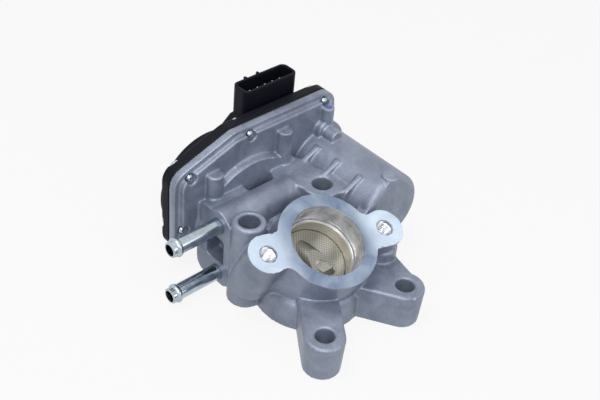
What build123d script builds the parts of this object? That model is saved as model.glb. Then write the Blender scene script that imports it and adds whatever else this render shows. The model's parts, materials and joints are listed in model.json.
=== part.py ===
from build123d import *
import os
from math import acos, atan2, cos, degrees, hypot, pi, radians, sin, sqrt, tan

# Exhaust gas recirculation valve: a flap on an oblique shaft, turned by a motor
# through two pairs of gears and closed by a spring.
# Frame: z = 0 is the engine face and z points up along its four bolts. x points
# along the flap shaft, from the gear case to the motor's closed end. y points
# along the gear case. The origin is midway between opposite corners of the bolt
# rectangle; the front left bolt stands inside its corner.

# mounting feet
bolt_pitch_x = 61.5
bolt_pitch_y = 53.5
bolt_bore_r = 4.4
bolt_bore_length = 12.0
bore_draft = 1.2
inner_bolt_x = -26.5
inner_bolt_y = -24.7
foot_r = 9.0
foot_base_r = 9.2
foot_draft = 2.3
front_foot_height = 20.0
column_height = 48.0
column_draft = 1.2
pad_height = 43.5
arm_edge_fillet = 1.5
broken_edge = 0.6

# gas port and its inclined flange
port_y = 2.2
port_height = 40.0
port_tilt = 24.0
port_r = 18.6
port_depth = 12.5
duct_r = 17.4
flange_r = 25.5
ear_pitch = 65.0
ear_turn = 14.5
ear_r = 10.0
ear_depth = 29.0
stud_r = 4.0
stud_hole_depth = 20.0

# flap, its seat and its shaft
shaft_height = 20.0
shaft_r = 4.0
sleeve_wall = 1.1
sleeve_below_flap = 5.6
sleeve_lead = 0.6
sleeve_window_gap = 0.4
flap_clearance = 0.25
flap_thickness = 2.8
ring_groove_width = 1.3
ring_groove_depth = 1.6
ring_side_gap = 0.05
ring_clearance = 0.04
flap_hub_r = 6.2
flap_hub_height = 10.0
shaft_overhang = 11.0
flap_hub_reach = 12.0
ring_gap = 0.6
shaft_flat = 2.6
running_clearance = 0.03

# bearings and seal, counted from the gear case floor towards the duct
ball_bearing_r = 8.0
ball_bearing_width = 5.0
bearing_ring_wall = 1.3
seal_r = 7.5
seal_width = 4.0
needle_bearing_r = 6.0
needle_bearing_length = 11.0

# gear case
case_left = -42.0
case_right = 62.5
case_top = 70.3
case_bottom = 0.6
case_slope_y = -6.0
case_left_top = 57.5
case_left_bottom = 10.0
case_knee_y = 32.0
case_right_bottom = 13.5
case_corner_r = 9.0
case_motor_margin = 2.4
case_hollow_r = 5.0
case_joint_x = -65.0
case_rim_thickness = 4.0
case_wall = 3.0
case_rim_inset = 3.0
case_depth = 8.0
case_floor_thickness = 3.0
room_depth = 4.0
room_floor_thickness = 2.8
shaft_disc_r = 34.4
screw_inset = 4.2
screw_boss_r = 4.2
screw_r = 2.0
screw_head_r = 3.4
screw_head_height = 2.4
screw_seat_depth = 1.4
screw_pocket_r = 4.8
screw_tip = 1.6
tip_pocket_r = 2.9

# gears
tooth_slack = 0.16
valve_gear_teeth = 48
small_pinion_teeth = 14
second_module = 1.0
wheel_teeth = 49
motor_pinion_teeth = 12
first_module = 0.9
flap_travel = 72.0
spare_teeth = 1.2
valve_gear_x = -75.0
valve_gear_width = 8.0
valve_hub_r = 12.0
wheel_width = 4.5
wheel_floor_gap = 1.0
gear_pin_r = 2.5
gear_pin_seat = 4.0
gear_hub_rise = 2.4
axial_gap = 0.4

# return spring
spring_mean_r = 6.6
spring_wire_r = 0.75
spring_turns = 3.25
spring_leg_reach = 13.0
spring_peg_r = 1.5
spring_peg_height = 3.0
spring_leg_depth = 4.0

# motor and its housing
motor_y = 51.2
motor_z = 31.0
motor_housing_r = 19.5
motor_housing_wall = 2.5
motor_housing_end = -3.5
motor_clearance = 0.3
motor_can_wall = 1.4
motor_plate_thickness = 3.0
motor_spring_gap = 2.2
motor_screw_radius = 20.4
motor_screw_turns = (90.0, 237.0)
motor_ear_width = 6.4
motor_ear_gap = 0.4
motor_pocket_wall = 2.0
motor_ear_thickness = 1.4
motor_screw_r = 1.5
motor_screw_length = 9.0
motor_screw_boss_r = 3.7
motor_screw_boss_length = 11.0
motor_shaft_r = 1.6
rotor_core_length = 24.0
winding_length = 4.0
winding_r = 9.6
commutator_r = 4.2
commutator_length = 4.5
brush_gap = 0.1
contact_length = 10.2
contact_width = 4.0
motor_magnet_thickness = 2.6
rotor_air_gap = 0.6
rotor_slots = 5

# cover
cover_flange = 6.0
cover_wall = 2.4
cover_top_x = -86.0
dome_r = 30.4
dome_top_x = -92.0
dome_inset = 0.5
pinion_dome_r = 13.0
dome_hollow_r = 4.0
dome_edge_r = 1.5
gasket_thickness = 0.8
gasket_inset = 0.4
gear_room_gap = 1.2
socket_start_y = 12.2
socket_length = 34.8
socket_width = 11.5
socket_corner_r = 3.4
socket_top = 78.8
socket_wall = 1.5
socket_depth = 13.0
socket_shoulder_z = 62.0
socket_foot_z = 57.0
terminal_count = 5
terminal_pitch = 5.0
terminal_width = 0.8
terminal_low_z = 55.0
terminal_top_gap = 4.0
board_thickness = 1.2
chip_gap = 0.7
magnet_r = 9.0
magnet_length = 2.6

# coolant pipes and passages
pipe_x = -43.0
upper_pipe_z = 36.0
lower_pipe_z = 6.3
pipe_r = 4.0
pipe_wall = 1.0
bead_r = 4.9
pipe_tip_length = 2.2
pipe_face_y = -29.5
pipe_tip_y = -58.5
pipe_seat_depth = 9.0
coolant_jacket_r = 8.6
coolant_core_r = 3.2
coolant_turn_y = 14.0

# base and neck of the casting
base_left = -41.0
base_r = 28.0
base_front = -25.3
base_back = 29.0
base_height = 16.0
neck_height = 32.0
rib_thickness = 3.0
post_x = -56.5

# places worked out from the sizes above
tilt = radians(port_tilt)
axis_n = (sin(tilt), 0, cos(tilt))
flap_depth = (port_height - shaft_height) / cos(tilt)
flap_x = -flap_depth * sin(tilt)
sleeve_length = flap_depth + sleeve_below_flap - port_depth
sleeve_r = duct_r + 0.7
sleeve_bore_r = sleeve_r - sleeve_wall
flap_r = sleeve_bore_r - flap_clearance
bolt_x = bolt_pitch_x / 2
bolt_y = bolt_pitch_y / 2
case_floor_x = case_joint_x + case_depth
case_back_x = case_floor_x + case_floor_thickness
rim_back_x = case_joint_x + case_rim_thickness
room_floor_x = case_joint_x + room_depth
room_back_x = room_floor_x + room_floor_thickness
duct_wall_x = flap_x - duct_r / cos(tilt)
second_centre = second_module * (valve_gear_teeth + small_pinion_teeth) / 2
first_centre = first_module * (wheel_teeth + motor_pinion_teeth) / 2
wheel_x = room_floor_x - wheel_floor_gap - wheel_width

# the intermediate gear's axis is one centre distance from the shaft's axis and
# the other from the motor's
axis_gap = hypot(motor_y - port_y, motor_z - shaft_height)
axis_slope = atan2(motor_z - shaft_height, motor_y - port_y)
axis_cosine = (second_centre ** 2 + axis_gap ** 2 - first_centre ** 2) / (2 * second_centre * axis_gap)
second_mesh = axis_slope + acos(axis_cosine)
wheel_y = port_y + second_centre * cos(second_mesh)
wheel_z = shaft_height + second_centre * sin(second_mesh)
first_mesh = atan2(motor_z - wheel_z, motor_y - wheel_y)
wheel_tip_r = first_module * (wheel_teeth / 2 + 1)
valve_tip_r = second_module * (valve_gear_teeth / 2 + 1)
cover_joint_x = case_joint_x - gasket_thickness
cover_face_x = cover_joint_x - cover_flange
cover_ceiling_x = cover_top_x + cover_wall
screw_seat_x = cover_face_x + screw_seat_depth

port_plane = Plane(origin=(0, port_y, port_height), x_dir=(0, 1, 0), z_dir=axis_n)
ear_way = (sin(radians(ear_turn)) * cos(tilt), cos(radians(ear_turn)), -sin(radians(ear_turn)) * sin(tilt))
ear_plane = Plane(origin=(0, port_y, port_height), x_dir=ear_way, z_dir=axis_n)
flap_plane = port_plane.offset(-flap_depth)


def across(x):
    """plane at x, looking along the shaft: sketch x is the frame's y, sketch y its z"""
    return Plane.YZ.offset(x)


def along(y):
    """plane at y facing the pipes' tips: sketch x is the frame's x, sketch y its z"""
    return Plane.XZ.offset(-y)


def case_outline(inset=0.0):
    """outline of the gear case, for a plane across the shaft, moved in by inset"""
    corners = [
        (case_left, case_left_bottom),
        (port_y - 22, case_left_bottom),
        (port_y - 12, case_bottom),
        (case_knee_y, case_bottom),
        (case_right, case_right_bottom),
        (case_right, case_top),
        (case_slope_y, case_top),
        (case_left, case_left_top),
    ]
    radii = [case_corner_r, 6, 6, 12, case_corner_r, case_corner_r, 14, case_corner_r]
    with BuildSketch() as outline:
        with BuildLine():
            FilletPolyline(*corners, radius=radii, close=True)
        make_face()
        with Locations((motor_y, motor_z)):
            Circle(motor_housing_r + case_motor_margin)
        offset(amount=case_hollow_r)
        offset(amount=-case_hollow_r - inset)
    return outline.sketch


top_slope = (case_top - case_left_top) / (case_slope_y - case_left)
bottom_slope = (case_right_bottom - case_bottom) / (case_right - case_knee_y)


def under_top_edge(y):
    """height of a screw set in from the sloping top left edge"""
    return case_left_top + top_slope * (y - case_left) - screw_inset * sqrt(1 + top_slope ** 2)


def over_bottom_edge(y):
    """height of a screw set in from the sloping bottom right edge"""
    return case_bottom + bottom_slope * (y - case_knee_y) + screw_inset * sqrt(1 + bottom_slope ** 2)


cover_screw_points = [
    (case_left + 8.5, under_top_edge(case_left + 8.5)),
    (port_y + 1, case_top - screw_inset),
    (case_right - 9, case_top - screw_inset),
    (motor_y + motor_housing_r + case_motor_margin - screw_inset, motor_z + 2),
    (motor_y - 19, over_bottom_edge(motor_y - 19)),
    (port_y - 19.5, case_left_bottom + screw_inset),
    (case_left + screw_inset, shaft_height + 6),
]


motor_screw_points = [
    (motor_y + motor_screw_radius * cos(radians(turn)), motor_z + motor_screw_radius * sin(radians(turn)))
    for turn in motor_screw_turns
]


def gear_room(shrink):
    """outline of the room for the gears: its outside, or its inside when shrunk by the wall"""
    with BuildSketch() as room:
        with Locations((port_y, shaft_height)):
            Circle(valve_tip_r + gear_room_gap + case_wall - shrink)
        with Locations((wheel_y, wheel_z)):
            Circle(wheel_tip_r + gear_room_gap + case_wall - shrink)
        with Locations((motor_y, motor_z)):
            Circle(motor_housing_r - motor_housing_wall + case_wall - shrink)
        with BuildLine():
            Polyline(
                (port_y, shaft_height),
                (motor_y, motor_z - 8),
                (motor_y, motor_z),
                (wheel_y, wheel_z),
                close=True,
            )
        make_face()
        add(case_outline(case_rim_inset + shrink), mode=Mode.INTERSECT)
        if shrink:
            with Locations(*cover_screw_points):
                Circle(screw_boss_r, mode=Mode.SUBTRACT)
    return room.sketch


def ear_slots(gap):
    """round-ended shapes of the motor plate's ears, grown by a gap, round the motor's axis"""
    with BuildSketch() as slots:
        for turn in motor_screw_turns:
            with Locations(Location((motor_y, motor_z, 0), (0, 0, turn))):
                with Locations((motor_screw_radius / 2, 0)):
                    SlotCenterToCenter(motor_screw_radius, motor_ear_width + 2 * gap)
    return slots.sketch


def cover_dome(shrink):
    """outline of the raised part of the cover, shrunk by the wall for its inside"""
    with BuildSketch() as dome:
        with Locations((port_y, shaft_height)):
            Circle(dome_r)
        with Locations((wheel_y, wheel_z), (motor_y, motor_z)):
            Circle(pinion_dome_r)
        with BuildLine():
            Polyline(
                (port_y - 10, shaft_height + 25),
                (socket_start_y - 0.5, socket_shoulder_z),
                (socket_start_y + socket_length + 0.5, socket_shoulder_z),
                (motor_y + 4, motor_z + 12.5),
                (motor_y, motor_z - pinion_dome_r),
                (port_y, shaft_height - 8),
                close=True,
            )
        make_face()
        add(case_outline(dome_inset), mode=Mode.INTERSECT)
        offset(amount=dome_hollow_r)
        offset(amount=-dome_hollow_r - shrink)
        if shrink:
            with Locations(*cover_screw_points):
                Circle(screw_pocket_r + shrink, mode=Mode.SUBTRACT)
    return dome.sketch


def tooth(teeth, module, slack):
    """one involute tooth, centred on the sketch's x axis and rooted in the wheel"""
    pitch_r = module * teeth / 2
    base_r = pitch_r * cos(radians(20))
    tip_r = pitch_r + module
    root_r = pitch_r - 1.25 * module
    start_r = max(base_r, root_r)

    def half_angle(r):
        pressure = acos(min(1, base_r / r))
        rise = tan(radians(20)) - radians(20) - (tan(pressure) - pressure)
        return pi / (2 * teeth) + rise - slack / (2 * pitch_r)

    stations = [start_r, pitch_r, (pitch_r + tip_r) / 2, tip_r]
    flank = [(r * cos(half_angle(r)), r * sin(half_angle(r))) for r in stations]
    foot_reach = root_r - 0.2 * module
    foot = (foot_reach * cos(half_angle(start_r)), foot_reach * sin(half_angle(start_r)))
    side = [foot] + flank
    with BuildSketch() as shape:
        with BuildLine():
            Polyline(*side, *[(px, -py) for px, py in reversed(side)], close=True)
        make_face()
    return shape.sketch


def toothed_wheel(teeth, module, slack):
    """full wheel with a tooth on the sketch's x axis"""
    one_tooth = tooth(teeth, module, slack)
    with BuildSketch() as wheel:
        Circle(module * (teeth / 2 - 1.25))
        with PolarLocations(0, teeth):
            add(one_tooth)
    return wheel.sketch


def finish(name, part):
    """name a finished piece and write it"""
    part.label = name
    export_step(part, "parts/" + name + ".step")
    pieces.append((name, len(part.solids()), round(part.volume, 1)))


os.makedirs("parts", exist_ok=True)
pieces = []

# centre line of the return spring: its ends give the casting's peg and the gear's hole
coil_start_x = case_floor_x - spring_wire_r - 0.25
coil_end_x = valve_gear_x + valve_gear_width + spring_wire_r + 0.25
with BuildLine() as coil:
    Helix(
        pitch=(coil_start_x - coil_end_x) / spring_turns,
        height=coil_start_x - coil_end_x,
        radius=spring_mean_r,
        center=(coil_start_x, port_y, shaft_height),
        direction=(-1, 0, 0),
        lefthand=True,
    )
fixed_end = coil.line @ 0
gear_end = coil.line @ 1
leg_way = (fixed_end - Vector(coil_start_x, port_y, shaft_height)).normalized()
peg_centre = fixed_end + leg_way * (spring_leg_reach - spring_mean_r - spring_peg_r)
peg_centre = peg_centre + Vector(1, 0, 0).cross(leg_way) * (spring_wire_r + spring_peg_r)

# casting: flange with its two ears
with BuildPart() as flange_block:
    with BuildSketch(ear_plane) as flange_outline:
        Circle(flange_r)
        with Locations((ear_pitch / 2, 0), (-ear_pitch / 2, 0)):
            Circle(ear_r)
        with Locations((ear_pitch / 4, -ear_r / 2), (-ear_pitch / 4, ear_r / 2)):
            Rectangle(ear_pitch / 2, ear_r)
        inner_corners = flange_outline.vertices().filter_by(lambda v: hypot(v.X, v.Y) < flange_r + 0.5)
        fillet(inner_corners.filter_by(lambda v: v.X * v.Y > 0), 5)
        straight_corners = flange_outline.vertices().filter_by(
            lambda v: abs(hypot(v.X, v.Y) - flange_r) < 0.5 and abs(abs(v.Y) - ear_r) < 0.1
        )
        fillet(straight_corners, 1.5)
    extrude(amount=-ear_depth)

# casting: inclined duct, cut off at the engine face
with BuildPart() as throat:
    with BuildSketch(port_plane):
        Circle(flange_r - 0.6)
    extrude(amount=-2 * port_height)
    split(bisect_by=Plane.XY, keep=Keep.TOP)

# casting: base around the duct, with one arm to each front foot
with BuildPart() as base:
    with BuildSketch(Plane.XY):
        with Locations((flap_x, port_y)):
            Circle(base_r)
        with Locations(((base_left + flap_x) / 2, (base_front + base_back) / 2)):
            RectangleRounded(flap_x - base_left, base_back - base_front, 12)
    extrude(amount=base_height)
    fillet(base.faces().sort_by(Axis.Z)[-1].edges(), 3)

with BuildPart() as arms:
    for side in (-1, 1):
        foot_x = bolt_x
        foot_y = side * bolt_y
        reach = hypot(foot_x - flap_x, foot_y - port_y)
        turn = degrees(atan2(foot_y - port_y, foot_x - flap_x))
        with BuildSketch(Plane.XY):
            with Locations((foot_x, foot_y)):
                Circle(foot_base_r)
            with Locations(Location(((foot_x + flap_x) / 2, (foot_y + port_y) / 2, 0), (0, 0, turn))):
                Rectangle(reach, 2 * foot_base_r)
        extrude(amount=front_foot_height, taper=-foot_draft)
    fillet(arms.faces().filter_by(Axis.Z).sort_by(Axis.Z)[-1].edges(), arm_edge_fillet)
    with BuildSketch(Plane.XY):
        with BuildLine():
            Polyline(
                (0, port_y + 8),
                (bolt_x, bolt_y),
                (bolt_x - 2, bolt_y + foot_base_r - 0.5),
                (10, bolt_y + 13),
                (-8, bolt_y + 13),
                close=True,
            )
        make_face()
    extrude(amount=front_foot_height - 0.5)

# casting: tall column at the front left and pad with a rounded lobe at the back left
with BuildPart() as column:
    with BuildSketch(Plane.XY):
        with Locations((inner_bolt_x, inner_bolt_y)):
            Circle(foot_base_r)
    extrude(amount=column_height, taper=column_draft)
    fillet(column.faces().sort_by(Axis.Z)[-1].edges(), arm_edge_fillet)

with BuildPart() as pad:
    with BuildSketch(Plane.XY):
        with Locations((-bolt_x, bolt_y)):
            Circle(foot_r + 1.5)
        with Locations((-bolt_x - 16.3, bolt_y - 4.5)):
            Circle(foot_r + 2.7)
        with BuildLine():
            Polyline(
                (-bolt_x - 18, bolt_y + 4),
                (-bolt_x - 14, bolt_y - 14),
                (-bolt_x - 2, bolt_y - 10),
                (-bolt_x + 11, bolt_y + 2),
                (-bolt_x + 13, bolt_y + 9),
                (-bolt_x - 8, bolt_y + 9),
                close=True,
            )
        make_face()
    extrude(amount=pad_height)
    fillet(pad.faces().sort_by(Axis.Z)[-1].edges(), 0.8)

# casting: neck that holds the shaft, under the coolant jacket
with BuildPart() as neck:
    with BuildSketch(across(case_back_x - case_floor_thickness / 2)):
        with Locations((port_y, shaft_height)):
            Circle(ball_bearing_r + 5)
    extrude(amount=duct_wall_x - case_back_x + 6)
    with BuildSketch(Plane.XY):
        with Locations(((case_back_x + base_left) / 2 + 4, port_y - 6)):
            Rectangle(base_left - case_back_x + 14, 34)
    extrude(amount=neck_height)

with BuildPart() as coolant_jacket:
    with BuildSketch(along(pipe_face_y)):
        with Locations((pipe_x, upper_pipe_z)):
            Circle(coolant_jacket_r)
    extrude(amount=-(port_y + 14 - pipe_face_y))
    with BuildSketch(along(pipe_face_y)):
        with Locations((pipe_x - 3.4, (upper_pipe_z + lower_pipe_z) / 2)):
            RectangleRounded(2 * coolant_jacket_r + 8, upper_pipe_z - lower_pipe_z + 13.5, 6)
    extrude(amount=-(bolt_y - foot_r + 6))
    with BuildSketch(along(pipe_face_y)):
        with Locations((pipe_x - 2, (upper_pipe_z + lower_pipe_z) / 2 - 0.5)):
            RectangleRounded(12.5, 15.5, 2)
    extrude(amount=-11, mode=Mode.SUBTRACT)

# casting: round motor housing with its screw bosses, ribs and posts
with BuildPart() as motor_housing:
    with BuildSketch(across(rim_back_x - 1)):
        with Locations((motor_y, motor_z)):
            Circle(motor_housing_r)
    extrude(amount=motor_housing_end - rim_back_x + 1)
    fillet(motor_housing.faces().sort_by(Axis.X)[-1].edges(), 4)

with BuildPart() as housing_details:
    with BuildSketch(across(case_floor_x)):
        with Locations(*motor_screw_points):
            Circle(motor_screw_boss_r)
    extrude(amount=motor_screw_boss_length)
    # walls round the pockets for the motor's ears, and the boss that holds the gear pin
    with BuildSketch(across(rim_back_x - 1)):
        add(ear_slots(motor_ear_gap + motor_pocket_wall))
        with Locations((wheel_y, wheel_z)):
            Circle(gear_pin_r + case_wall)
    extrude(amount=case_back_x - rim_back_x + 1)
    # webs between the pad and the side of the motor housing
    for rib_x in (-50.0, -35.0, -19.0):
        with BuildSketch(across(rib_x - rib_thickness / 2)):
            with BuildLine():
                Polyline(
                    (motor_y - motor_housing_r - 3, pad_height - 6),
                    (motor_y - motor_housing_r - 1, pad_height),
                    (motor_y - motor_housing_r / 2, motor_z + motor_housing_r - 1.5),
                    (motor_y - motor_housing_r / 3, motor_z),
                    (motor_y - motor_housing_r, motor_z),
                    close=True,
                )
            make_face()
        extrude(amount=rib_thickness)
    # long web that climbs from the flange to the end post
    end_post_x = motor_housing_end - 4
    with BuildSketch(across(end_post_x - rib_thickness)):
        with BuildLine():
            Polyline(
                (motor_y - motor_housing_r - 1.5, port_height - 4),
                (motor_y - 3, motor_z + motor_housing_r + 1),
                (motor_y + 3, motor_z + motor_housing_r),
                (motor_y - 2, motor_z),
                (motor_y - motor_housing_r - 1.5, motor_z - 4),
                close=True,
            )
        make_face()
    extrude(amount=2 * rib_thickness)
    with BuildSketch(Plane.XY.offset(motor_z)):
        with Locations((end_post_x, motor_y)):
            Circle(4.5)
    extrude(amount=motor_housing_r + 1.3)
    # cast posts beside the rim
    post_places = [
        (port_y - 23.5, 55.4, 4.3, 20),
        (port_y + 21, 62.6, 4.0, 22),
        (port_y + 50.6, 65.1, 3.5, 20),
    ]
    for post_y, top_z, post_r, post_length in post_places:
        with BuildSketch(Plane.XY.offset(top_z - post_length)):
            with Locations((post_x, post_y)):
                Circle(post_r)
        extrude(amount=post_length)
    # wall under the near side of the motor housing, down to the base
    with BuildSketch(Plane.XY):
        with Locations(((base_left + motor_housing_end - 6) / 2, motor_y - motor_housing_r + 3)):
            Rectangle(motor_housing_end - 6 - base_left, 18)
    extrude(amount=motor_z)

# casting: ear columns under the flange
with BuildPart() as ear_columns:
    far_x = ear_pitch / 2 * sin(radians(ear_turn)) * cos(tilt)
    far_y = port_y + ear_pitch / 2 * cos(radians(ear_turn))
    with BuildSketch(Plane.XY):
        with Locations((far_x - 1.5, far_y)):
            Circle(ear_r - 1)
    extrude(amount=port_height - ear_depth / 2)

# casting: gear case rim and the raised room for the gears
with BuildPart() as gear_case:
    with BuildSketch(across(case_joint_x)):
        add(case_outline())
    extrude(amount=case_rim_thickness)
    with BuildSketch(across(rim_back_x)):
        add(case_outline(case_rim_inset))
    extrude(amount=room_back_x - rim_back_x)
    with BuildSketch(across(rim_back_x)):
        with Locations(*cover_screw_points):
            Circle(tip_pocket_r)
    extrude(amount=room_back_x - rim_back_x, mode=Mode.SUBTRACT)

# casting: disc round the shaft, cut to the case's outline
with BuildPart() as shaft_disc:
    with BuildSketch(across(rim_back_x - 1)):
        with Locations((port_y, shaft_height)):
            Circle(shaft_disc_r)
    extrude(amount=case_back_x - rim_back_x + 1, taper=8)
    with BuildSketch(across(rim_back_x - 1)):
        add(case_outline(case_rim_inset))
        with Locations(*cover_screw_points):
            Circle(tip_pocket_r, mode=Mode.SUBTRACT)
    extrude(amount=case_back_x - rim_back_x + 1, mode=Mode.INTERSECT)

# casting: everything joined, then machined
with BuildPart() as valve_body:
    for form in (throat, flange_block, base, arms, column, pad, neck, coolant_jacket):
        add(form.part)
    for form in (ear_columns, motor_housing, housing_details, gear_case, shaft_disc):
        add(form.part)
    # nothing stands above the machined flange inside its own outline
    with BuildSketch(port_plane):
        Circle(flange_r)
    extrude(amount=30, mode=Mode.SUBTRACT)
    # gas port, sleeve seat and duct
    with BuildSketch(port_plane):
        Circle(port_r)
    extrude(amount=-port_depth, mode=Mode.SUBTRACT)
    with BuildSketch(port_plane.offset(-port_depth)):
        Circle(sleeve_r)
    extrude(amount=-sleeve_length, mode=Mode.SUBTRACT)
    with BuildSketch(port_plane.offset(-port_depth)):
        Circle(duct_r)
    extrude(amount=-2 * port_height, mode=Mode.SUBTRACT)
    # tapped ears
    with Locations(ear_plane):
        with Locations((ear_pitch / 2, 0), (-ear_pitch / 2, 0)):
            CounterSinkHole(stud_r, stud_r + broken_edge, depth=stud_hole_depth, counter_sink_angle=90)
    # bolt holes: drilled at the engine face, cast with draft above, broken edge on top
    foot_tops = [
        (bolt_x, -bolt_y, front_foot_height),
        (bolt_x, bolt_y, front_foot_height),
        (inner_bolt_x, inner_bolt_y, column_height),
        (-bolt_x, bolt_y, pad_height),
    ]
    for foot_x, foot_y, foot_top in foot_tops:
        with BuildSketch(Plane.XY):
            with Locations((foot_x, foot_y)):
                Circle(bolt_bore_r)
        extrude(amount=bolt_bore_length, mode=Mode.SUBTRACT)
        with BuildSketch(Plane.XY.offset(bolt_bore_length)):
            with Locations((foot_x, foot_y)):
                Circle(bolt_bore_r)
        extrude(amount=foot_top - bolt_bore_length + 0.1, taper=-bore_draft, mode=Mode.SUBTRACT)
        mouth_r = bolt_bore_r + (foot_top - bolt_bore_length) * tan(radians(bore_draft)) + broken_edge
        with BuildSketch(Plane.XY.offset(foot_top)):
            with Locations((foot_x, foot_y)):
                Circle(mouth_r)
        extrude(amount=-broken_edge, taper=45, mode=Mode.SUBTRACT)
    # shaft bore, stepped for bearing, seal and needle bearing
    step_x = case_floor_x
    for step_r, step_length in (
        (ball_bearing_r, ball_bearing_width),
        (seal_r, seal_width),
        (needle_bearing_r, needle_bearing_length),
    ):
        with BuildSketch(across(step_x)):
            with Locations((port_y, shaft_height)):
                Circle(step_r)
        extrude(amount=step_length, mode=Mode.SUBTRACT)
        step_x = step_x + step_length
    with BuildSketch(across(step_x)):
        with Locations((port_y, shaft_height)):
            Circle(shaft_r + running_clearance)
    extrude(amount=flap_x - step_x, mode=Mode.SUBTRACT)
    # gear case cavity, leaving a boss at each cover screw, deeper round the shaft
    with BuildSketch(across(case_joint_x)):
        add(gear_room(case_wall))
    extrude(amount=room_depth, mode=Mode.SUBTRACT)
    with BuildSketch(across(room_floor_x)):
        add(gear_room(case_wall))
        with Locations((port_y, shaft_height)):
            Circle(valve_tip_r + gear_room_gap, mode=Mode.INTERSECT)
    extrude(amount=case_floor_x - room_floor_x, mode=Mode.SUBTRACT)
    with BuildSketch(across(case_joint_x)):
        add(ear_slots(motor_ear_gap))
    extrude(amount=case_depth, mode=Mode.SUBTRACT)
    # motor cavity
    with BuildSketch(across(case_joint_x)):
        with Locations((motor_y, motor_z)):
            Circle(motor_housing_r - motor_housing_wall)
    extrude(amount=motor_housing_end - motor_housing_wall - case_joint_x, mode=Mode.SUBTRACT)
    # holes for the cover screws, the gear pin and the motor screws
    with BuildSketch(across(case_joint_x)):
        with Locations(*cover_screw_points):
            Circle(screw_r)
    extrude(amount=case_rim_thickness + 6, mode=Mode.SUBTRACT)
    with BuildSketch(across(room_floor_x)):
        with Locations((wheel_y, wheel_z)):
            Circle(gear_pin_r)
    extrude(amount=gear_pin_seat, mode=Mode.SUBTRACT)
    with BuildSketch(across(case_floor_x)):
        with Locations(*motor_screw_points):
            Circle(motor_screw_r)
    extrude(amount=motor_screw_length, mode=Mode.SUBTRACT)
    # peg for the spring's fixed leg
    with BuildSketch(across(case_floor_x)):
        with Locations((peg_centre.Y, peg_centre.Z)):
            Circle(spring_peg_r)
    extrude(amount=-spring_peg_height)
    # coolant passages behind the pipes, joined behind the shaft
    with BuildSketch(along(pipe_face_y - foot_r)):
        with Locations((pipe_x, upper_pipe_z), (pipe_x, lower_pipe_z)):
            Circle(pipe_r)
    extrude(amount=-pipe_seat_depth - foot_r, mode=Mode.SUBTRACT)
    with BuildSketch(along(pipe_face_y)):
        with Locations((pipe_x, upper_pipe_z), (pipe_x, lower_pipe_z)):
            Circle(coolant_core_r)
    extrude(amount=-(coolant_turn_y - pipe_face_y), mode=Mode.SUBTRACT)
    with BuildSketch(Plane.XY.offset(lower_pipe_z)):
        with Locations((pipe_x, coolant_turn_y)):
            Circle(coolant_core_r)
    extrude(amount=upper_pipe_z - lower_pipe_z, mode=Mode.SUBTRACT)

finish("valve_body", valve_body.part)

# sleeve pressed into the duct: the flap closes inside it
with BuildPart() as seat_sleeve:
    with BuildSketch(port_plane.offset(-port_depth)):
        Circle(sleeve_r)
        Circle(sleeve_bore_r, mode=Mode.SUBTRACT)
    extrude(amount=-sleeve_length)
    mouth = seat_sleeve.edges().filter_by(GeomType.CIRCLE).sort_by(Axis.Z)
    chamfer(mouth.filter_by(lambda e: abs(e.radius - sleeve_bore_r) < 0.01)[-1], sleeve_lead)
    with BuildSketch(across(flap_x - 2 * duct_r)):
        with Locations((port_y, shaft_height)):
            Circle(shaft_r + sleeve_window_gap)
    extrude(amount=2 * duct_r, mode=Mode.SUBTRACT)
finish("seat_sleeve", seat_sleeve.part)

# flap: disc with an oblique hub for the shaft and a groove for its ring
with BuildPart() as flap:
    with BuildSketch(flap_plane.offset(-flap_hub_height / 2)):
        Circle(flap_hub_reach)
    extrude(amount=flap_hub_height)
    with BuildSketch(across(flap_x - 2 * duct_r)):
        with Locations((port_y, shaft_height)):
            Circle(flap_hub_r)
    extrude(amount=4 * duct_r, mode=Mode.INTERSECT)
    with BuildSketch(flap_plane.offset(-flap_thickness / 2)):
        Circle(flap_r)
    extrude(amount=flap_thickness)
    with BuildSketch(across(flap_x - 2 * duct_r)):
        with Locations((port_y, shaft_height)):
            Circle(shaft_r)
    extrude(amount=4 * duct_r, mode=Mode.SUBTRACT)
    with BuildSketch(flap_plane.offset(-ring_groove_width / 2)):
        Circle(flap_r + 1)
        Circle(flap_r - ring_groove_depth, mode=Mode.SUBTRACT)
    extrude(amount=ring_groove_width, mode=Mode.SUBTRACT)

finish("flap", flap.part)

# spring ring in the flap's groove, with a narrow gap
with BuildPart() as flap_ring:
    with BuildSketch(flap_plane.offset(-ring_groove_width / 2 + ring_side_gap)):
        Circle(sleeve_bore_r - ring_clearance)
        Circle(flap_r - ring_groove_depth + ring_side_gap, mode=Mode.SUBTRACT)
        with Locations((flap_r, 0)):
            Rectangle(2 * ring_groove_depth + 2, ring_gap, mode=Mode.SUBTRACT)
    extrude(amount=ring_groove_width - 2 * ring_side_gap)

finish("flap_ring", flap_ring.part)

# shaft: round, with a flat on the end that shows on the flap
with BuildPart() as flap_shaft:
    with BuildSketch(across(valve_gear_x - gear_hub_rise)):
        with Locations((port_y, shaft_height)):
            Circle(shaft_r)
    extrude(amount=flap_x + shaft_overhang - (valve_gear_x - gear_hub_rise))
    with BuildSketch(across(flap_x + shaft_overhang / 2)):
        with Locations((port_y, shaft_height + shaft_flat + shaft_r)):
            Rectangle(4 * shaft_r, 2 * shaft_r)
    extrude(amount=shaft_overhang, mode=Mode.SUBTRACT)
    chamfer(flap_shaft.faces().sort_by(Axis.X)[0].edges(), 0.4)
finish("flap_shaft", flap_shaft.part)


def shaft_ring(name, x, length, outer_r, inner_r):
    """plain ring on the shaft's axis, from x towards the duct"""
    with BuildPart() as ring:
        with BuildSketch(across(x)):
            with Locations((port_y, shaft_height)):
                Circle(outer_r)
                Circle(inner_r, mode=Mode.SUBTRACT)
        extrude(amount=length)
    finish(name, ring.part)


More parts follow.
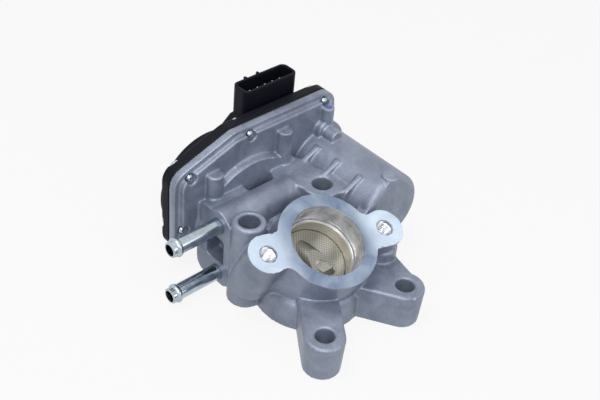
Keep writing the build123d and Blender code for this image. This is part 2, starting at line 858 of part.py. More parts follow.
seal_x = case_floor_x + ball_bearing_width
needle_x = seal_x + seal_width
bearing_split_r = shaft_r + bearing_ring_wall
shaft_ring("bearing_inner_ring", case_floor_x + 0.2, ball_bearing_width - 0.4, bearing_split_r - 0.1, shaft_r)
shaft_ring("bearing_outer_ring", case_floor_x, ball_bearing_width, ball_bearing_r, bearing_split_r + 0.1)
shaft_ring("shaft_seal", seal_x, seal_width, seal_r, shaft_r + running_clearance)
shaft_ring("needle_bearing", needle_x, needle_bearing_length, needle_bearing_r, shaft_r + running_clearance)

# valve gear: toothed sector with a round hub
sector_spare = 360 / valve_gear_teeth * spare_teeth
sector_low = degrees(second_mesh) - flap_travel - sector_spare
sector_high = degrees(second_mesh) + sector_spare
valve_wheel = toothed_wheel(valve_gear_teeth, second_module, tooth_slack)
with BuildPart() as valve_gear:
    with BuildSketch(across(valve_gear_x)):
        with Locations(Location((port_y, shaft_height, 0), (0, 0, degrees(second_mesh)))):
            add(valve_wheel)
        with BuildLine():
            fan = [(port_y, shaft_height)]
            for turn in (sector_low, (sector_low + sector_high) / 2, sector_high):
                reach = 2 * valve_tip_r
                fan.append((port_y + reach * cos(radians(turn)), shaft_height + reach * sin(radians(turn))))
            Polyline(*fan, close=True)
        make_face(mode=Mode.INTERSECT)
        with Locations((port_y, shaft_height)):
            Circle(valve_hub_r)
    extrude(amount=valve_gear_width)
    with BuildSketch(across(valve_gear_x - gear_hub_rise)):
        with Locations((port_y, shaft_height)):
            Circle(magnet_r)
    extrude(amount=gear_hub_rise)
    with BuildSketch(across(valve_gear_x - gear_hub_rise)):
        with Locations((port_y, shaft_height)):
            Circle(shaft_r)
        with Locations((gear_end.Y, gear_end.Z)):
            Circle(spring_wire_r + 0.05)
    extrude(amount=valve_gear_width + gear_hub_rise, mode=Mode.SUBTRACT)
finish("valve_gear", valve_gear.part)
magnet_face_x = valve_gear_x - gear_hub_rise - magnet_length
shaft_ring("sensor_magnet", magnet_face_x, magnet_length, magnet_r, shaft_r + 0.6)

# return spring: coil with a leg out to the peg and a leg into the gear
with BuildPart() as return_spring:
    with BuildSketch(Plane(origin=fixed_end, z_dir=coil.line % 0)):
        Circle(spring_wire_r)
    sweep(path=coil.line)
    with BuildSketch(Plane(origin=fixed_end, z_dir=leg_way)):
        Circle(spring_wire_r)
    extrude(amount=spring_leg_reach - spring_mean_r)
    with BuildSketch(Plane(origin=gear_end, z_dir=(-1, 0, 0))):
        Circle(spring_wire_r)
    extrude(amount=spring_leg_depth)
    with Locations(fixed_end, gear_end):
        Sphere(spring_wire_r)
finish("return_spring", return_spring.part)

# intermediate gear: large wheel and small pinion in one moulding
wheel_face = toothed_wheel(wheel_teeth, first_module, tooth_slack)
small_face = toothed_wheel(small_pinion_teeth, second_module, tooth_slack)
with BuildPart() as intermediate_gear:
    with BuildSketch(across(wheel_x)):
        with Locations(Location((wheel_y, wheel_z, 0), (0, 0, degrees(first_mesh)))):
            add(wheel_face)
    extrude(amount=wheel_width)
    with BuildSketch(across(wheel_x)):
        with Locations((wheel_y, wheel_z)):
            Circle(wheel_tip_r - 4.5)
            Circle(10.5, mode=Mode.SUBTRACT)
    extrude(amount=1.6, mode=Mode.SUBTRACT)
    with BuildSketch(across(wheel_x)):
        small_turn = degrees(second_mesh) + 180 + 180 / small_pinion_teeth
        with Locations(Location((wheel_y, wheel_z, 0), (0, 0, small_turn))):
            add(small_face)
    extrude(amount=valve_gear_x - 1 - wheel_x)
    with BuildSketch(across(wheel_x + wheel_width)):
        with Locations((wheel_y, wheel_z)):
            Circle(gear_pin_r + 3)
    extrude(amount=wheel_floor_gap - axial_gap)
    with BuildSketch(across(valve_gear_x - 1)):
        with Locations((wheel_y, wheel_z)):
            Circle(gear_pin_r + running_clearance)
    extrude(amount=case_floor_x - valve_gear_x + 1, mode=Mode.SUBTRACT)
finish("intermediate_gear", intermediate_gear.part)

with BuildPart() as gear_pin:
    with BuildSketch(across(cover_ceiling_x + 0.4)):
        with Locations((wheel_y, wheel_z)):
            Circle(gear_pin_r)
    extrude(amount=room_floor_x + gear_pin_seat - cover_ceiling_x - 0.4)
finish("gear_pin", gear_pin.part)

# motor: end plate on the gear case floor, can, magnets, rotor and pinion
motor_can_r = motor_housing_r - motor_housing_wall - motor_clearance
plate_x = case_floor_x + motor_plate_thickness
cavity_end_x = motor_housing_end - motor_housing_wall
can_end_x = cavity_end_x - motor_spring_gap
can_inner_r = motor_can_r - motor_can_wall
rotor_r = can_inner_r - motor_magnet_thickness - rotor_air_gap
rotor_end_x = can_end_x - motor_can_wall - 8
rotor_start_x = rotor_end_x - rotor_core_length
commutator_x = rotor_start_x - winding_length - commutator_length
with BuildPart() as motor_end_plate:
    with BuildSketch(across(case_floor_x)):
        with Locations((motor_y, motor_z)):
            Circle(motor_can_r)
    extrude(amount=motor_plate_thickness)
    with BuildSketch(across(case_floor_x)):
        with Locations((motor_y, motor_z)):
            Circle(motor_can_r - 1)
        add(ear_slots(0))
    extrude(amount=-motor_ear_thickness)
    with BuildSketch(across(case_floor_x - motor_ear_thickness)):
        with Locations((motor_y, motor_z)):
            Circle(motor_shaft_r + running_clearance)
        with Locations(*motor_screw_points):
            Circle(motor_screw_r)
    extrude(amount=motor_ear_thickness + motor_plate_thickness, mode=Mode.SUBTRACT)
finish("motor_end_plate", motor_end_plate.part)

with BuildPart() as motor_can:
    with BuildSketch(across(plate_x)):
        with Locations((motor_y, motor_z)):
            Circle(motor_can_r)
    extrude(amount=can_end_x - plate_x)
    fillet(motor_can.faces().sort_by(Axis.X)[-1].edges(), 1.2)
    with BuildSketch(across(can_end_x)):
        with Locations((motor_y, motor_z)):
            Circle(4.5)
    extrude(amount=motor_spring_gap - 0.5)
    with BuildSketch(across(plate_x)):
        with Locations((motor_y, motor_z)):
            Circle(can_inner_r)
    extrude(amount=can_end_x - motor_can_wall - plate_x, mode=Mode.SUBTRACT)
    with BuildSketch(across(plate_x)):
        with Locations((motor_y, motor_z)):
            Circle(motor_shaft_r + running_clearance)
    extrude(amount=can_end_x + 1 - plate_x, mode=Mode.SUBTRACT)
finish("motor_can", motor_can.part)

with BuildPart() as motor_magnets:
    with BuildSketch(across(rotor_start_x - 2)):
        with Locations((motor_y, motor_z)):
            Circle(can_inner_r)
            Circle(can_inner_r - motor_magnet_thickness, mode=Mode.SUBTRACT)
            Rectangle(2 * can_inner_r, 6, mode=Mode.SUBTRACT)
    extrude(amount=rotor_core_length + 4)
finish("motor_magnets", motor_magnets.part)


def motor_round(name, x, length, outer_r, inner_r):
    """plain ring on the motor's axis, from x towards its closed end"""
    with BuildPart() as ring:
        with BuildSketch(across(x)):
            with Locations((motor_y, motor_z)):
                Circle(outer_r)
                if inner_r:
                    Circle(inner_r, mode=Mode.SUBTRACT)
        extrude(amount=length)
    finish(name, ring.part)


with BuildPart() as rotor_core:
    with BuildSketch(across(rotor_start_x)):
        with Locations((motor_y, motor_z)):
            Circle(rotor_r)
            Circle(motor_shaft_r, mode=Mode.SUBTRACT)
            with PolarLocations(rotor_r - 2.6, rotor_slots):
                Rectangle(6.5, 2.4, mode=Mode.SUBTRACT)
    extrude(amount=rotor_core_length)
finish("rotor_core", rotor_core.part)

with BuildPart() as rotor_winding:
    for winding_x in (rotor_start_x - winding_length, rotor_end_x):
        with BuildSketch(across(winding_x)):
            with Locations((motor_y, motor_z)):
                Circle(winding_r)
                Circle(motor_shaft_r, mode=Mode.SUBTRACT)
        extrude(amount=winding_length)
finish("rotor_winding", rotor_winding.part)
motor_round("commutator", commutator_x, commutator_length, commutator_r, motor_shaft_r)

pinion_x = wheel_x - 1
with BuildPart() as motor_pinion:
    with BuildSketch(across(pinion_x)):
        pinion_turn = degrees(first_mesh) + 180 + 180 / motor_pinion_teeth
        with Locations(Location((motor_y, motor_z, 0), (0, 0, pinion_turn))):
            add(toothed_wheel(motor_pinion_teeth, first_module, tooth_slack))
        with Locations((motor_y, motor_z)):
            Circle(motor_shaft_r, mode=Mode.SUBTRACT)
    extrude(amount=wheel_width + 1)
finish("motor_pinion", motor_pinion.part)
motor_round("motor_shaft", pinion_x - 0.8, can_end_x + 0.6 - pinion_x + 0.8, motor_shaft_r, 0)

with BuildPart() as brush_card:
    with BuildSketch(across(plate_x)):
        with Locations((motor_y, motor_z)):
            Circle(can_inner_r)
            Circle(commutator_r + 0.8, mode=Mode.SUBTRACT)
    extrude(amount=1.2)
    for way in (-1, 1):
        with BuildSketch(across(plate_x + 1.2)):
            with Locations((motor_y + way * (commutator_r + brush_gap + 3), motor_z)):
                Rectangle(6, 3)
        extrude(amount=commutator_x + commutator_length - plate_x - 1.6)
finish("brush_card", brush_card.part)

with BuildPart() as motor_contacts:
    with BuildSketch(across(case_floor_x - motor_ear_thickness)):
        with Locations((motor_y + 9, motor_z + 5), (motor_y + 9, motor_z - 5)):
            Rectangle(0.8, contact_width)
    extrude(amount=-contact_length)
finish("motor_contacts", motor_contacts.part)

# wave spring between the can's closed end and the housing
with BuildPart() as motor_spring:
    with BuildSketch(across(can_end_x)):
        with Locations((motor_y, motor_z)):
            Circle(motor_can_r - 2.5)
            Circle(motor_can_r - 6, mode=Mode.SUBTRACT)
    extrude(amount=0.5)
    with BuildSketch(across(can_end_x + 0.5)):
        with Locations((motor_y, motor_z)):
            with PolarLocations(motor_can_r - 4.25, 3):
                Circle(1.7)
    extrude(amount=motor_spring_gap - 0.5, taper=25)
finish("motor_spring", motor_spring.part)

with BuildPart() as motor_screws:
    with BuildSketch(across(case_floor_x - motor_ear_thickness)):
        with Locations(*motor_screw_points):
            Circle(motor_screw_r)
    extrude(amount=motor_ear_thickness + motor_screw_length - 1)
    with BuildSketch(across(case_floor_x - motor_ear_thickness)):
        with Locations(*motor_screw_points):
            Circle(1.9 * motor_screw_r)
    extrude(amount=-2.2)
finish("motor_screws", motor_screws.part)

# gasket between the gear case and its cover
with BuildPart() as cover_gasket:
    with BuildSketch(across(case_joint_x)):
        add(case_outline(gasket_inset))
        add(gear_room(case_wall), mode=Mode.SUBTRACT)
        with Locations(*cover_screw_points):
            Circle(screw_r, mode=Mode.SUBTRACT)
    extrude(amount=-gasket_thickness)
finish("cover_gasket", cover_gasket.part)

# cover: flange, raised dome and upright socket
socket_mid_x = cover_top_x + socket_width / 2
socket_mid_y = socket_start_y + socket_length / 2
terminal_ys = [socket_mid_y + (i - (terminal_count - 1) / 2) * terminal_pitch for i in range(terminal_count)]
terminal_places = [(socket_mid_x, y) for y in terminal_ys]
with BuildPart() as gear_cover:
    with BuildSketch(across(cover_joint_x)):
        add(case_outline())
    extrude(amount=-cover_flange)
    fillet(gear_cover.faces().sort_by(Axis.X)[0].edges(), 1.2)
    with BuildSketch(across(cover_face_x)):
        add(cover_dome(0))
    extrude(amount=cover_top_x - cover_face_x)
    fillet(gear_cover.faces().sort_by(Axis.X)[0].edges(), dome_edge_r)
    # round dome over the valve gear
    with BuildSketch(across(cover_face_x)):
        with Locations((port_y, shaft_height)):
            Circle(dome_r)
        add(case_outline(dome_inset), mode=Mode.INTERSECT)
    extrude(amount=dome_top_x - cover_face_x)
    fillet(gear_cover.faces().sort_by(Axis.X)[0].edges(), dome_edge_r)
    with BuildSketch(across(screw_seat_x)):
        with Locations(*cover_screw_points):
            Circle(screw_pocket_r)
    extrude(amount=dome_top_x - screw_seat_x, mode=Mode.SUBTRACT)
    with BuildSketch(Plane.XY.offset(socket_foot_z)):
        with Locations((socket_mid_x, socket_mid_y)):
            RectangleRounded(socket_width, socket_length, socket_corner_r)
    extrude(amount=socket_top - socket_foot_z)
    with BuildSketch(Plane.XY.offset(socket_foot_z)):
        with Locations((cover_top_x, socket_start_y + 9), (cover_top_x, socket_start_y + 17)):
            Rectangle(1.6, 1.4)
    extrude(amount=socket_top + 0.5 - socket_foot_z)
    with BuildSketch(Plane.XY.offset(socket_top - socket_depth)):
        with Locations((socket_mid_x, socket_mid_y)):
            RectangleRounded(
                socket_width - 2 * socket_wall,
                socket_length - 2 * socket_wall,
                socket_corner_r - socket_wall,
            )
    extrude(amount=socket_depth + 1, mode=Mode.SUBTRACT)
    # room for the gears
    with BuildSketch(across(cover_joint_x)):
        add(gear_room(case_wall))
    extrude(amount=cover_wall - cover_flange, mode=Mode.SUBTRACT)
    with BuildSketch(across(cover_joint_x)):
        add(cover_dome(cover_wall))
    extrude(amount=cover_ceiling_x - cover_joint_x, mode=Mode.SUBTRACT)
    with BuildSketch(across(cover_ceiling_x)):
        with Locations((port_y, shaft_height)):
            Circle(dome_r - cover_wall)
        add(case_outline(dome_inset + cover_wall), mode=Mode.INTERSECT)
        with Locations(*cover_screw_points):
            Circle(screw_pocket_r + cover_wall, mode=Mode.SUBTRACT)
    extrude(amount=dome_top_x - cover_top_x, mode=Mode.SUBTRACT)
    # boss that holds the far end of the gear pin
    with BuildSketch(across(cover_ceiling_x)):
        with Locations((wheel_y, wheel_z)):
            Circle(gear_pin_r + 2)
            Circle(gear_pin_r, mode=Mode.SUBTRACT)
    extrude(amount=valve_gear_x - 1 - gear_room_gap - cover_ceiling_x)
    # holes for the screws and slots for the terminals
    with BuildSketch(across(cover_joint_x)):
        with Locations(*cover_screw_points):
            Circle(screw_r)
    extrude(amount=screw_seat_x - cover_joint_x, mode=Mode.SUBTRACT)
    with BuildSketch(Plane.XY.offset(socket_foot_z)):
        with Locations(*terminal_places):
            Rectangle(terminal_width, terminal_width)
    extrude(amount=socket_top - socket_foot_z, mode=Mode.SUBTRACT)
finish("gear_cover", gear_cover.part)

with BuildPart() as cover_screws:
    with BuildSketch(across(screw_seat_x)):
        with Locations(*cover_screw_points):
            Circle(screw_r)
    extrude(amount=rim_back_x + screw_tip - screw_seat_x)
    with BuildSketch(across(screw_seat_x)):
        with Locations(*cover_screw_points):
            Circle(screw_head_r)
    extrude(amount=-screw_head_height)
    with BuildSketch(across(screw_seat_x - screw_head_height)):
        with Locations(*cover_screw_points):
            RegularPolygon(screw_r, 6)
    extrude(amount=1.4, mode=Mode.SUBTRACT)
finish("cover_screws", cover_screws.part)

# position sensor: board on the cover's ceiling with a chip over the magnet
board_face_x = cover_ceiling_x + board_thickness
with BuildPart() as position_sensor:
    with BuildSketch(across(cover_ceiling_x)):
        with BuildLine():
            Polyline(
                (port_y - 8, shaft_height - 7),
                (port_y + 9, shaft_height - 7),
                (terminal_ys[-1] + 2, terminal_low_z - 6),
                (terminal_ys[-1] + 2, terminal_low_z + 1),
                (terminal_ys[0] - 2, terminal_low_z + 1),
                (port_y - 8, shaft_height + 14),
                close=True,
            )
        make_face()
        with Locations((wheel_y, wheel_z)):
            Circle(gear_pin_r + 2.3, mode=Mode.SUBTRACT)
    extrude(amount=board_thickness)
    with BuildSketch(across(board_face_x)):
        with Locations((port_y, shaft_height)):
            Rectangle(6, 5)
    extrude(amount=magnet_face_x - chip_gap - board_face_x)
finish("position_sensor", position_sensor.part)

with BuildPart() as connector_terminals:
    with BuildSketch(Plane.XY.offset(terminal_low_z)):
        with Locations(*terminal_places):
            Rectangle(terminal_width, terminal_width)
    extrude(amount=socket_top - terminal_top_gap - terminal_low_z)
    with BuildSketch(across(board_face_x)):
        with Locations(*[(y, terminal_low_z + terminal_width / 2) for y in terminal_ys]):
            Rectangle(terminal_width, terminal_width)
    extrude(amount=socket_mid_x - board_face_x)
finish("connector_terminals", connector_terminals.part)


def coolant_pipe(name, z):
    """pressed-in pipe with a bead near its open tip"""
    inner_x = pipe_x + pipe_r - pipe_wall
    outer_x = pipe_x + pipe_r
    with BuildPart() as pipe:
        with BuildSketch(Plane.XY.offset(z)):
            with BuildLine():
                Polyline(
                    (outer_x, pipe_tip_y + pipe_tip_length + 3),
                    (outer_x, pipe_face_y + pipe_seat_depth),
                    (inner_x, pipe_face_y + pipe_seat_depth),
                    (inner_x, pipe_tip_y),
                    (outer_x - 0.4, pipe_tip_y),
                    (outer_x, pipe_tip_y + 0.4),
                    (outer_x, pipe_tip_y + pipe_tip_length),
                )
                ThreePointArc(
                    (outer_x, pipe_tip_y + pipe_tip_length),
                    (pipe_x + bead_r, pipe_tip_y + pipe_tip_length + 1.5),
                    (outer_x, pipe_tip_y + pipe_tip_length + 3),
                )
            make_face()
        revolve(axis=Axis((pipe_x, 0, z), (0, 1, 0)))
    finish(name, pipe.part)


coolant_pipe("upper_coolant_pipe", upper_pipe_z)
coolant_pipe("lower_coolant_pipe", lower_pipe_z)

for name, solids, volume in pieces:
    print(name, solids, volume)
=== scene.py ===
"""Looks of an exhaust gas recirculation valve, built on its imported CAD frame."""
import json
import math

import bmesh
import bpy
import numpy as np
from mathutils import Matrix, Vector


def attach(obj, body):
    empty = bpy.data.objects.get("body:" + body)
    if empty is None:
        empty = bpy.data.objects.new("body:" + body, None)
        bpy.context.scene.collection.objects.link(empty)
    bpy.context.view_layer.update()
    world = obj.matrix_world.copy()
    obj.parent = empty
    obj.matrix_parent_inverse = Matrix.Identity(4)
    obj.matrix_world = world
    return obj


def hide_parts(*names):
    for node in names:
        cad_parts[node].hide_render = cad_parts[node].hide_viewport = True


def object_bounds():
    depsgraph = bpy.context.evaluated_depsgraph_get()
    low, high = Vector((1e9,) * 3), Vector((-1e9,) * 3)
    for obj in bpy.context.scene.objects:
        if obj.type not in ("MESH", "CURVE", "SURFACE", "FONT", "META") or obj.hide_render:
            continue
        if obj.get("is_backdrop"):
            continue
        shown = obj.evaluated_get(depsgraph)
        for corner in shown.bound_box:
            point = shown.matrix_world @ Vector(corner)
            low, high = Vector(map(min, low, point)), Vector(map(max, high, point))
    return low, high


bl_info = {
    "name": "EGR valve dressing",
    "version": (1, 0, 0),
    "blender": (4, 5, 0),
    "location": "3D View > Sidebar > EGR valve",
    "description": "Finishes the castings, pipes, cover and gears of an exhaust gas recirculation valve",
    "category": "Object",
}

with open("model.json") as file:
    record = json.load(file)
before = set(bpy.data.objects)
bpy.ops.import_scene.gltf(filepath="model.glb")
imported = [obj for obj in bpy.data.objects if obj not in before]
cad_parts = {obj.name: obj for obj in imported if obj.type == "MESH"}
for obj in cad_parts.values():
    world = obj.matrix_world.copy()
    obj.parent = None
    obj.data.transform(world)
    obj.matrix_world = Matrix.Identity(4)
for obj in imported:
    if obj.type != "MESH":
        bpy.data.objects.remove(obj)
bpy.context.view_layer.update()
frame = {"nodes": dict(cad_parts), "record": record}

MM = 0.001

# places on the casting, as the CAD frame has them
PORT_CENTRE = Vector((0, 2.2, 40)) * MM
PORT_TILT = math.radians(24)
PORT_AXIS = Vector((math.sin(PORT_TILT), 0, math.cos(PORT_TILT)))
PORT_R = 18.6 * MM
PORT_DEPTH = 12.5 * MM
EAR_TURN = math.radians(14.5)
EAR_WAY = Vector((math.sin(EAR_TURN) * math.cos(PORT_TILT), math.cos(EAR_TURN),
                  -math.sin(EAR_TURN) * math.sin(PORT_TILT)))
EAR_REACH = 32.5 * MM
EAR_HOLE_R = 4.0 * MM
EAR_HOLE_DEPTH = 20 * MM
EAR_R = 10 * MM
FLANGE_R = 27.5 * MM
FOOT_HOLES = [(30.75, -26.75), (30.75, 26.75), (-30.75, 26.75), (-26.5, -24.7)]
FOOT_HOLE_R = 4.4 * MM
FOOT_HOLE_DEPTH = 12 * MM
CASE_JOINT_X = -65 * MM
WHOLE_SIDE = 200 * MM

# how near a cut surface the cast skin is, and how far it leans its way, where smoothing leaves it alone
HELD_REACH = 0.75 * MM
HELD_LEAN = 0.1
# the same for the moves onto the cut surface: round holes, and flats after smoothing and after thinning out
HOLE_LEAN = 0.8
SMOOTHED_REACH, SMOOTHED_LEAN = 0.3 * MM, 0.8
THINNED_REACH, THINNED_LEAN = 0.35 * MM, 0.4
# how far off a cut surface the faces may lie that get its finish
FLAT_SLACK = 0.45 * MM
FLAT_RIM_SLACK = 1 * MM
FLAT_LEVEL = 0.98
WALL_SLACK = 0.1 * MM
WALL_LOW_SLACK = 0.3 * MM
WALL_HIGH_SLACK = 0.05 * MM

SMOOTH_SHARE = 0.5
CASTING_TRIANGLES = 190000
CASTING_SHARP = math.radians(38)
COVER_GRAIN = 0.36 * MM
COVER_ROUNDING = 4
COVER_TRIANGLES = 180000
COVER_SHARP = math.radians(45)

THREAD_LENGTH = 17 * MM
THREAD_SETBACK = 1.1 * MM
THREAD_WALL_GAP = 0.1 * MM
THREAD_STEPS = 40

# cover screw in millimetres, each place as distance along the axis and radius: the head from its crown
SCREW_HEAD = ((0.55, 0), (0.55, 1.2), (0.5, 2.0), (0.0, 2.2), (0.1, 2.7), (0.5, 3.15), (1.1, 3.4),
              (2.3, 3.4), (2.4, 3.3), (2.4, 2.0))
SCREW_TIP = ((-0.9, 1.7), (-0.2, 1.45), (0, 1.1), (0, 0))
SCREW_THREAD_START = 2.9
SCREW_THREAD_STOP = 1.2
SCREW_PITCH = 0.7
SCREW_ROOT_R = 1.7
SCREW_CREST_R = 2.0
SCREW_STEPS = 36
# the six-lobe recess: its depth and its ring of points that swell in and out
LOBES = 6
LOBE_SWELL = 0.1
LOBE_DEPTH = 0.56 * MM
LOBE_INNER_R = 1.1 * MM
LOBE_OUTER_R = 2.3 * MM
SCREW_SEED = 5

DAB_PLACE = Vector((-56.5, 52.8, 65.15)) * MM
DAB_TURN = math.radians(-46)
DAB_HALF_WIDTH = 0.9 * MM
DAB_HALF_LENGTH = 1.9 * MM
DAB_STEPS = 28
# share of the outline and height of each ring of the dab, from its sole up
DAB_RINGS = ((0.9, -0.12 * MM), (1.0, 0.04 * MM), (0.7, 0.1 * MM))
# waves in the outline: how far each swells, how many go round and where it starts
DAB_WAVES = ((0.12, 3, 0.6), (0.07, 7, 0.0))

FLOOR_HALF = 3.0
FLOOR_GAP = 0.02 * MM
# share of light that the floor throws back at the object
FLOOR_BOUNCE = 0.5
# share of plain white in what the camera sees of the floor, the rest is lit and shaded
FLOOR_GLOW = 0.88
# light that the surroundings give, where the camera and reflections see full white
WORLD_LIGHT = 0.5
# name, place, edge and power of each square lamp
LAMPS = (("overhead", (-0.1, -0.25, 1.0), 0.4, 4.0), ("front", (0.5, -0.5, 0.75), 0.5, 5.0),
         ("side", (1.0, 0.3, 0.5), 0.5, 1.4))
LAMP_AIM = Vector((0, 0, 0.03))
CAMERA_PLACE = Vector((239.67, -270.77, 353.45)) * MM
CAMERA_AZIMUTH = math.radians(43.7)
CAMERA_ELEVATION = math.radians(38.72)
CAMERA_ROLL = math.radians(-5.92)
CAMERA_SENSOR = 36
CAMERA_LENS = 60.96
CAMERA_CLIP = 0.01

# about this many light and dark bands, counted together, lie in one metre of a wave texture at scale 1
WAVE_BANDS = 6.28


def paint(code):
    """sRGB hex colour as the linear colour that shaders take"""
    channels = [int(code[i:i + 2], 16) / 255 for i in (1, 3, 5)]
    linear = [c / 12.92 if c <= 0.04045 else ((c + 0.055) / 1.055) ** 2.4 for c in channels]
    return (*linear, 1.0)


def chosen():
    """the sizes and colours set in the panel"""
    return bpy.context.scene.egr_valve


def add_node(tree, kind, settings, inputs):
    """one shader or geometry node with its settings

    An input, by name or number, is a value or the socket that it is linked from.
    """
    made = tree.nodes.new(kind)
    for name, value in settings.items():
        setattr(made, name, value)
    for name, value in inputs.items():
        if isinstance(value, bpy.types.NodeSocket):
            tree.links.new(value, made.inputs[name])
        else:
            made.inputs[name].default_value = value
    return made


def new_material(name, **constants):
    """material with its constant shader values: itself, its tree, its shader and the object coordinates"""
    made = bpy.data.materials.new(name)
    made.use_nodes = True
    tree = made.node_tree
    tree.nodes.clear()
    shader = add_node(tree, "ShaderNodeBsdfPrincipled", {}, {
        key.replace("_", " "): value for key, value in constants.items()})
    add_node(tree, "ShaderNodeOutputMaterial", {"target": "ALL"}, {"Surface": shader.outputs["BSDF"]})
    place = add_node(tree, "ShaderNodeTexCoord", {}, {}).outputs["Object"]
    return made, tree, shader, place


def per_metre(pitch_mm):
    """noise scale for a pattern whose grains are this many millimetres apart"""
    return 1 / (pitch_mm * MM)


def bands(width_mm):
    """wave scale for light and dark bands that are each this many millimetres wide"""
    return per_metre(width_mm) / WAVE_BANDS


def add_clouds(tree, shader, place, pitch_mm, detail, dark, light):
    """cloudy base colour between two hex colours, and the noise that it comes from"""
    clouds = add_node(tree, "ShaderNodeTexNoise", {}, {
        "Vector": place, "Scale": per_metre(pitch_mm), "Detail": detail})
    tone = add_node(tree, "ShaderNodeMix", {"data_type": "RGBA"}, {
        0: clouds.outputs["Fac"], 6: paint(dark), 7: paint(light)})
    tree.links.new(tone.outputs[2], shader.inputs["Base Color"])
    return clouds


def add_grain(tree, shader, place, pitch_mm, depth_mm, strength):
    """fine grain in relief; real grains are a few times finer and would not show"""
    grains = add_node(tree, "ShaderNodeTexNoise", {}, {
        "Vector": place, "Scale": per_metre(pitch_mm), "Detail": 2.0})
    relief = add_node(tree, "ShaderNodeBump", {}, {
        "Height": grains.outputs["Fac"], "Distance": depth_mm * MM, "Strength": strength})
    tree.links.new(relief.outputs["Normal"], shader.inputs["Normal"])


def die_cast_aluminium():
    """pressure die-cast aluminium, blasted: violet grey, sandy, with flow marks and a painted highlight
    that makes its sharp edges paler
    """
    made, tree, shader, place = new_material("die_cast_aluminium", Metallic=0.45)
    clouds = add_node(tree, "ShaderNodeTexNoise", {}, {
        "Vector": place, "Scale": per_metre(16), "Detail": 4.0, "Roughness": 0.6, "Distortion": 0.6})
    patches = add_node(tree, "ShaderNodeMapRange", {}, {
        "Value": clouds.outputs["Fac"], "From Min": 0.32, "From Max": 0.68})
    tone = add_node(tree, "ShaderNodeMix", {"data_type": "RGBA"}, {
        0: patches.outputs["Result"], 6: (*chosen().cast_shade, 1), 7: (*chosen().cast_tone, 1)})
    # grit is 0.3 mm on the real skin and is drawn twice as coarse so that it shows
    grit = add_node(tree, "ShaderNodeTexNoise", {}, {
        "Vector": place, "Scale": per_metre(0.6), "Detail": 3.0, "Roughness": 0.75})
    specks = add_node(tree, "ShaderNodeMapRange", {}, {
        "Value": grit.outputs["Fac"], "From Min": 0.34, "From Max": 0.68,
        "To Min": 0.84, "To Max": 1.16})
    grained = add_node(tree, "ShaderNodeMix", {"data_type": "RGBA", "blend_type": "MULTIPLY"}, {
        0: 1.0, 6: tone.outputs[2], 7: specks.outputs["Result"]})
    # painted highlight: where the skin is sharply convex, its colour turns paler towards #c2c8d4, as if
    # light caught the edges
    pointed = add_node(tree, "ShaderNodeNewGeometry", {}, {})
    edge_highlight = add_node(tree, "ShaderNodeMapRange", {}, {
        "Value": pointed.outputs["Pointiness"], "From Min": 0.52, "From Max": 0.59, "To Max": 0.5})
    highlit_edges = add_node(tree, "ShaderNodeMix", {"data_type": "RGBA"}, {
        0: edge_highlight.outputs["Result"], 6: grained.outputs[2], 7: paint("#c2c8d4")})
    tree.links.new(highlit_edges.outputs[2], shader.inputs["Base Color"])
    sheen = add_node(tree, "ShaderNodeMapRange", {}, {
        "Value": clouds.outputs["Fac"], "From Min": 0.3, "From Max": 0.7, "To Min": 0.36, "To Max": 0.5})
    tree.links.new(sheen.outputs["Result"], shader.inputs["Roughness"])
    skin = add_node(tree, "ShaderNodeBump", {}, {
        "Height": grit.outputs["Fac"], "Distance": 0.12 * MM, "Strength": 0.8})
    dents = add_node(tree, "ShaderNodeTexNoise", {}, {
        "Vector": place, "Scale": per_metre(5), "Detail": 2.0})
    waves = add_node(tree, "ShaderNodeBump", {}, {
        "Height": dents.outputs["Fac"], "Distance": 0.5 * MM, "Strength": 0.35,
        "Normal": skin.outputs["Normal"]})
    tree.links.new(waves.outputs["Normal"], shader.inputs["Normal"])
    return made


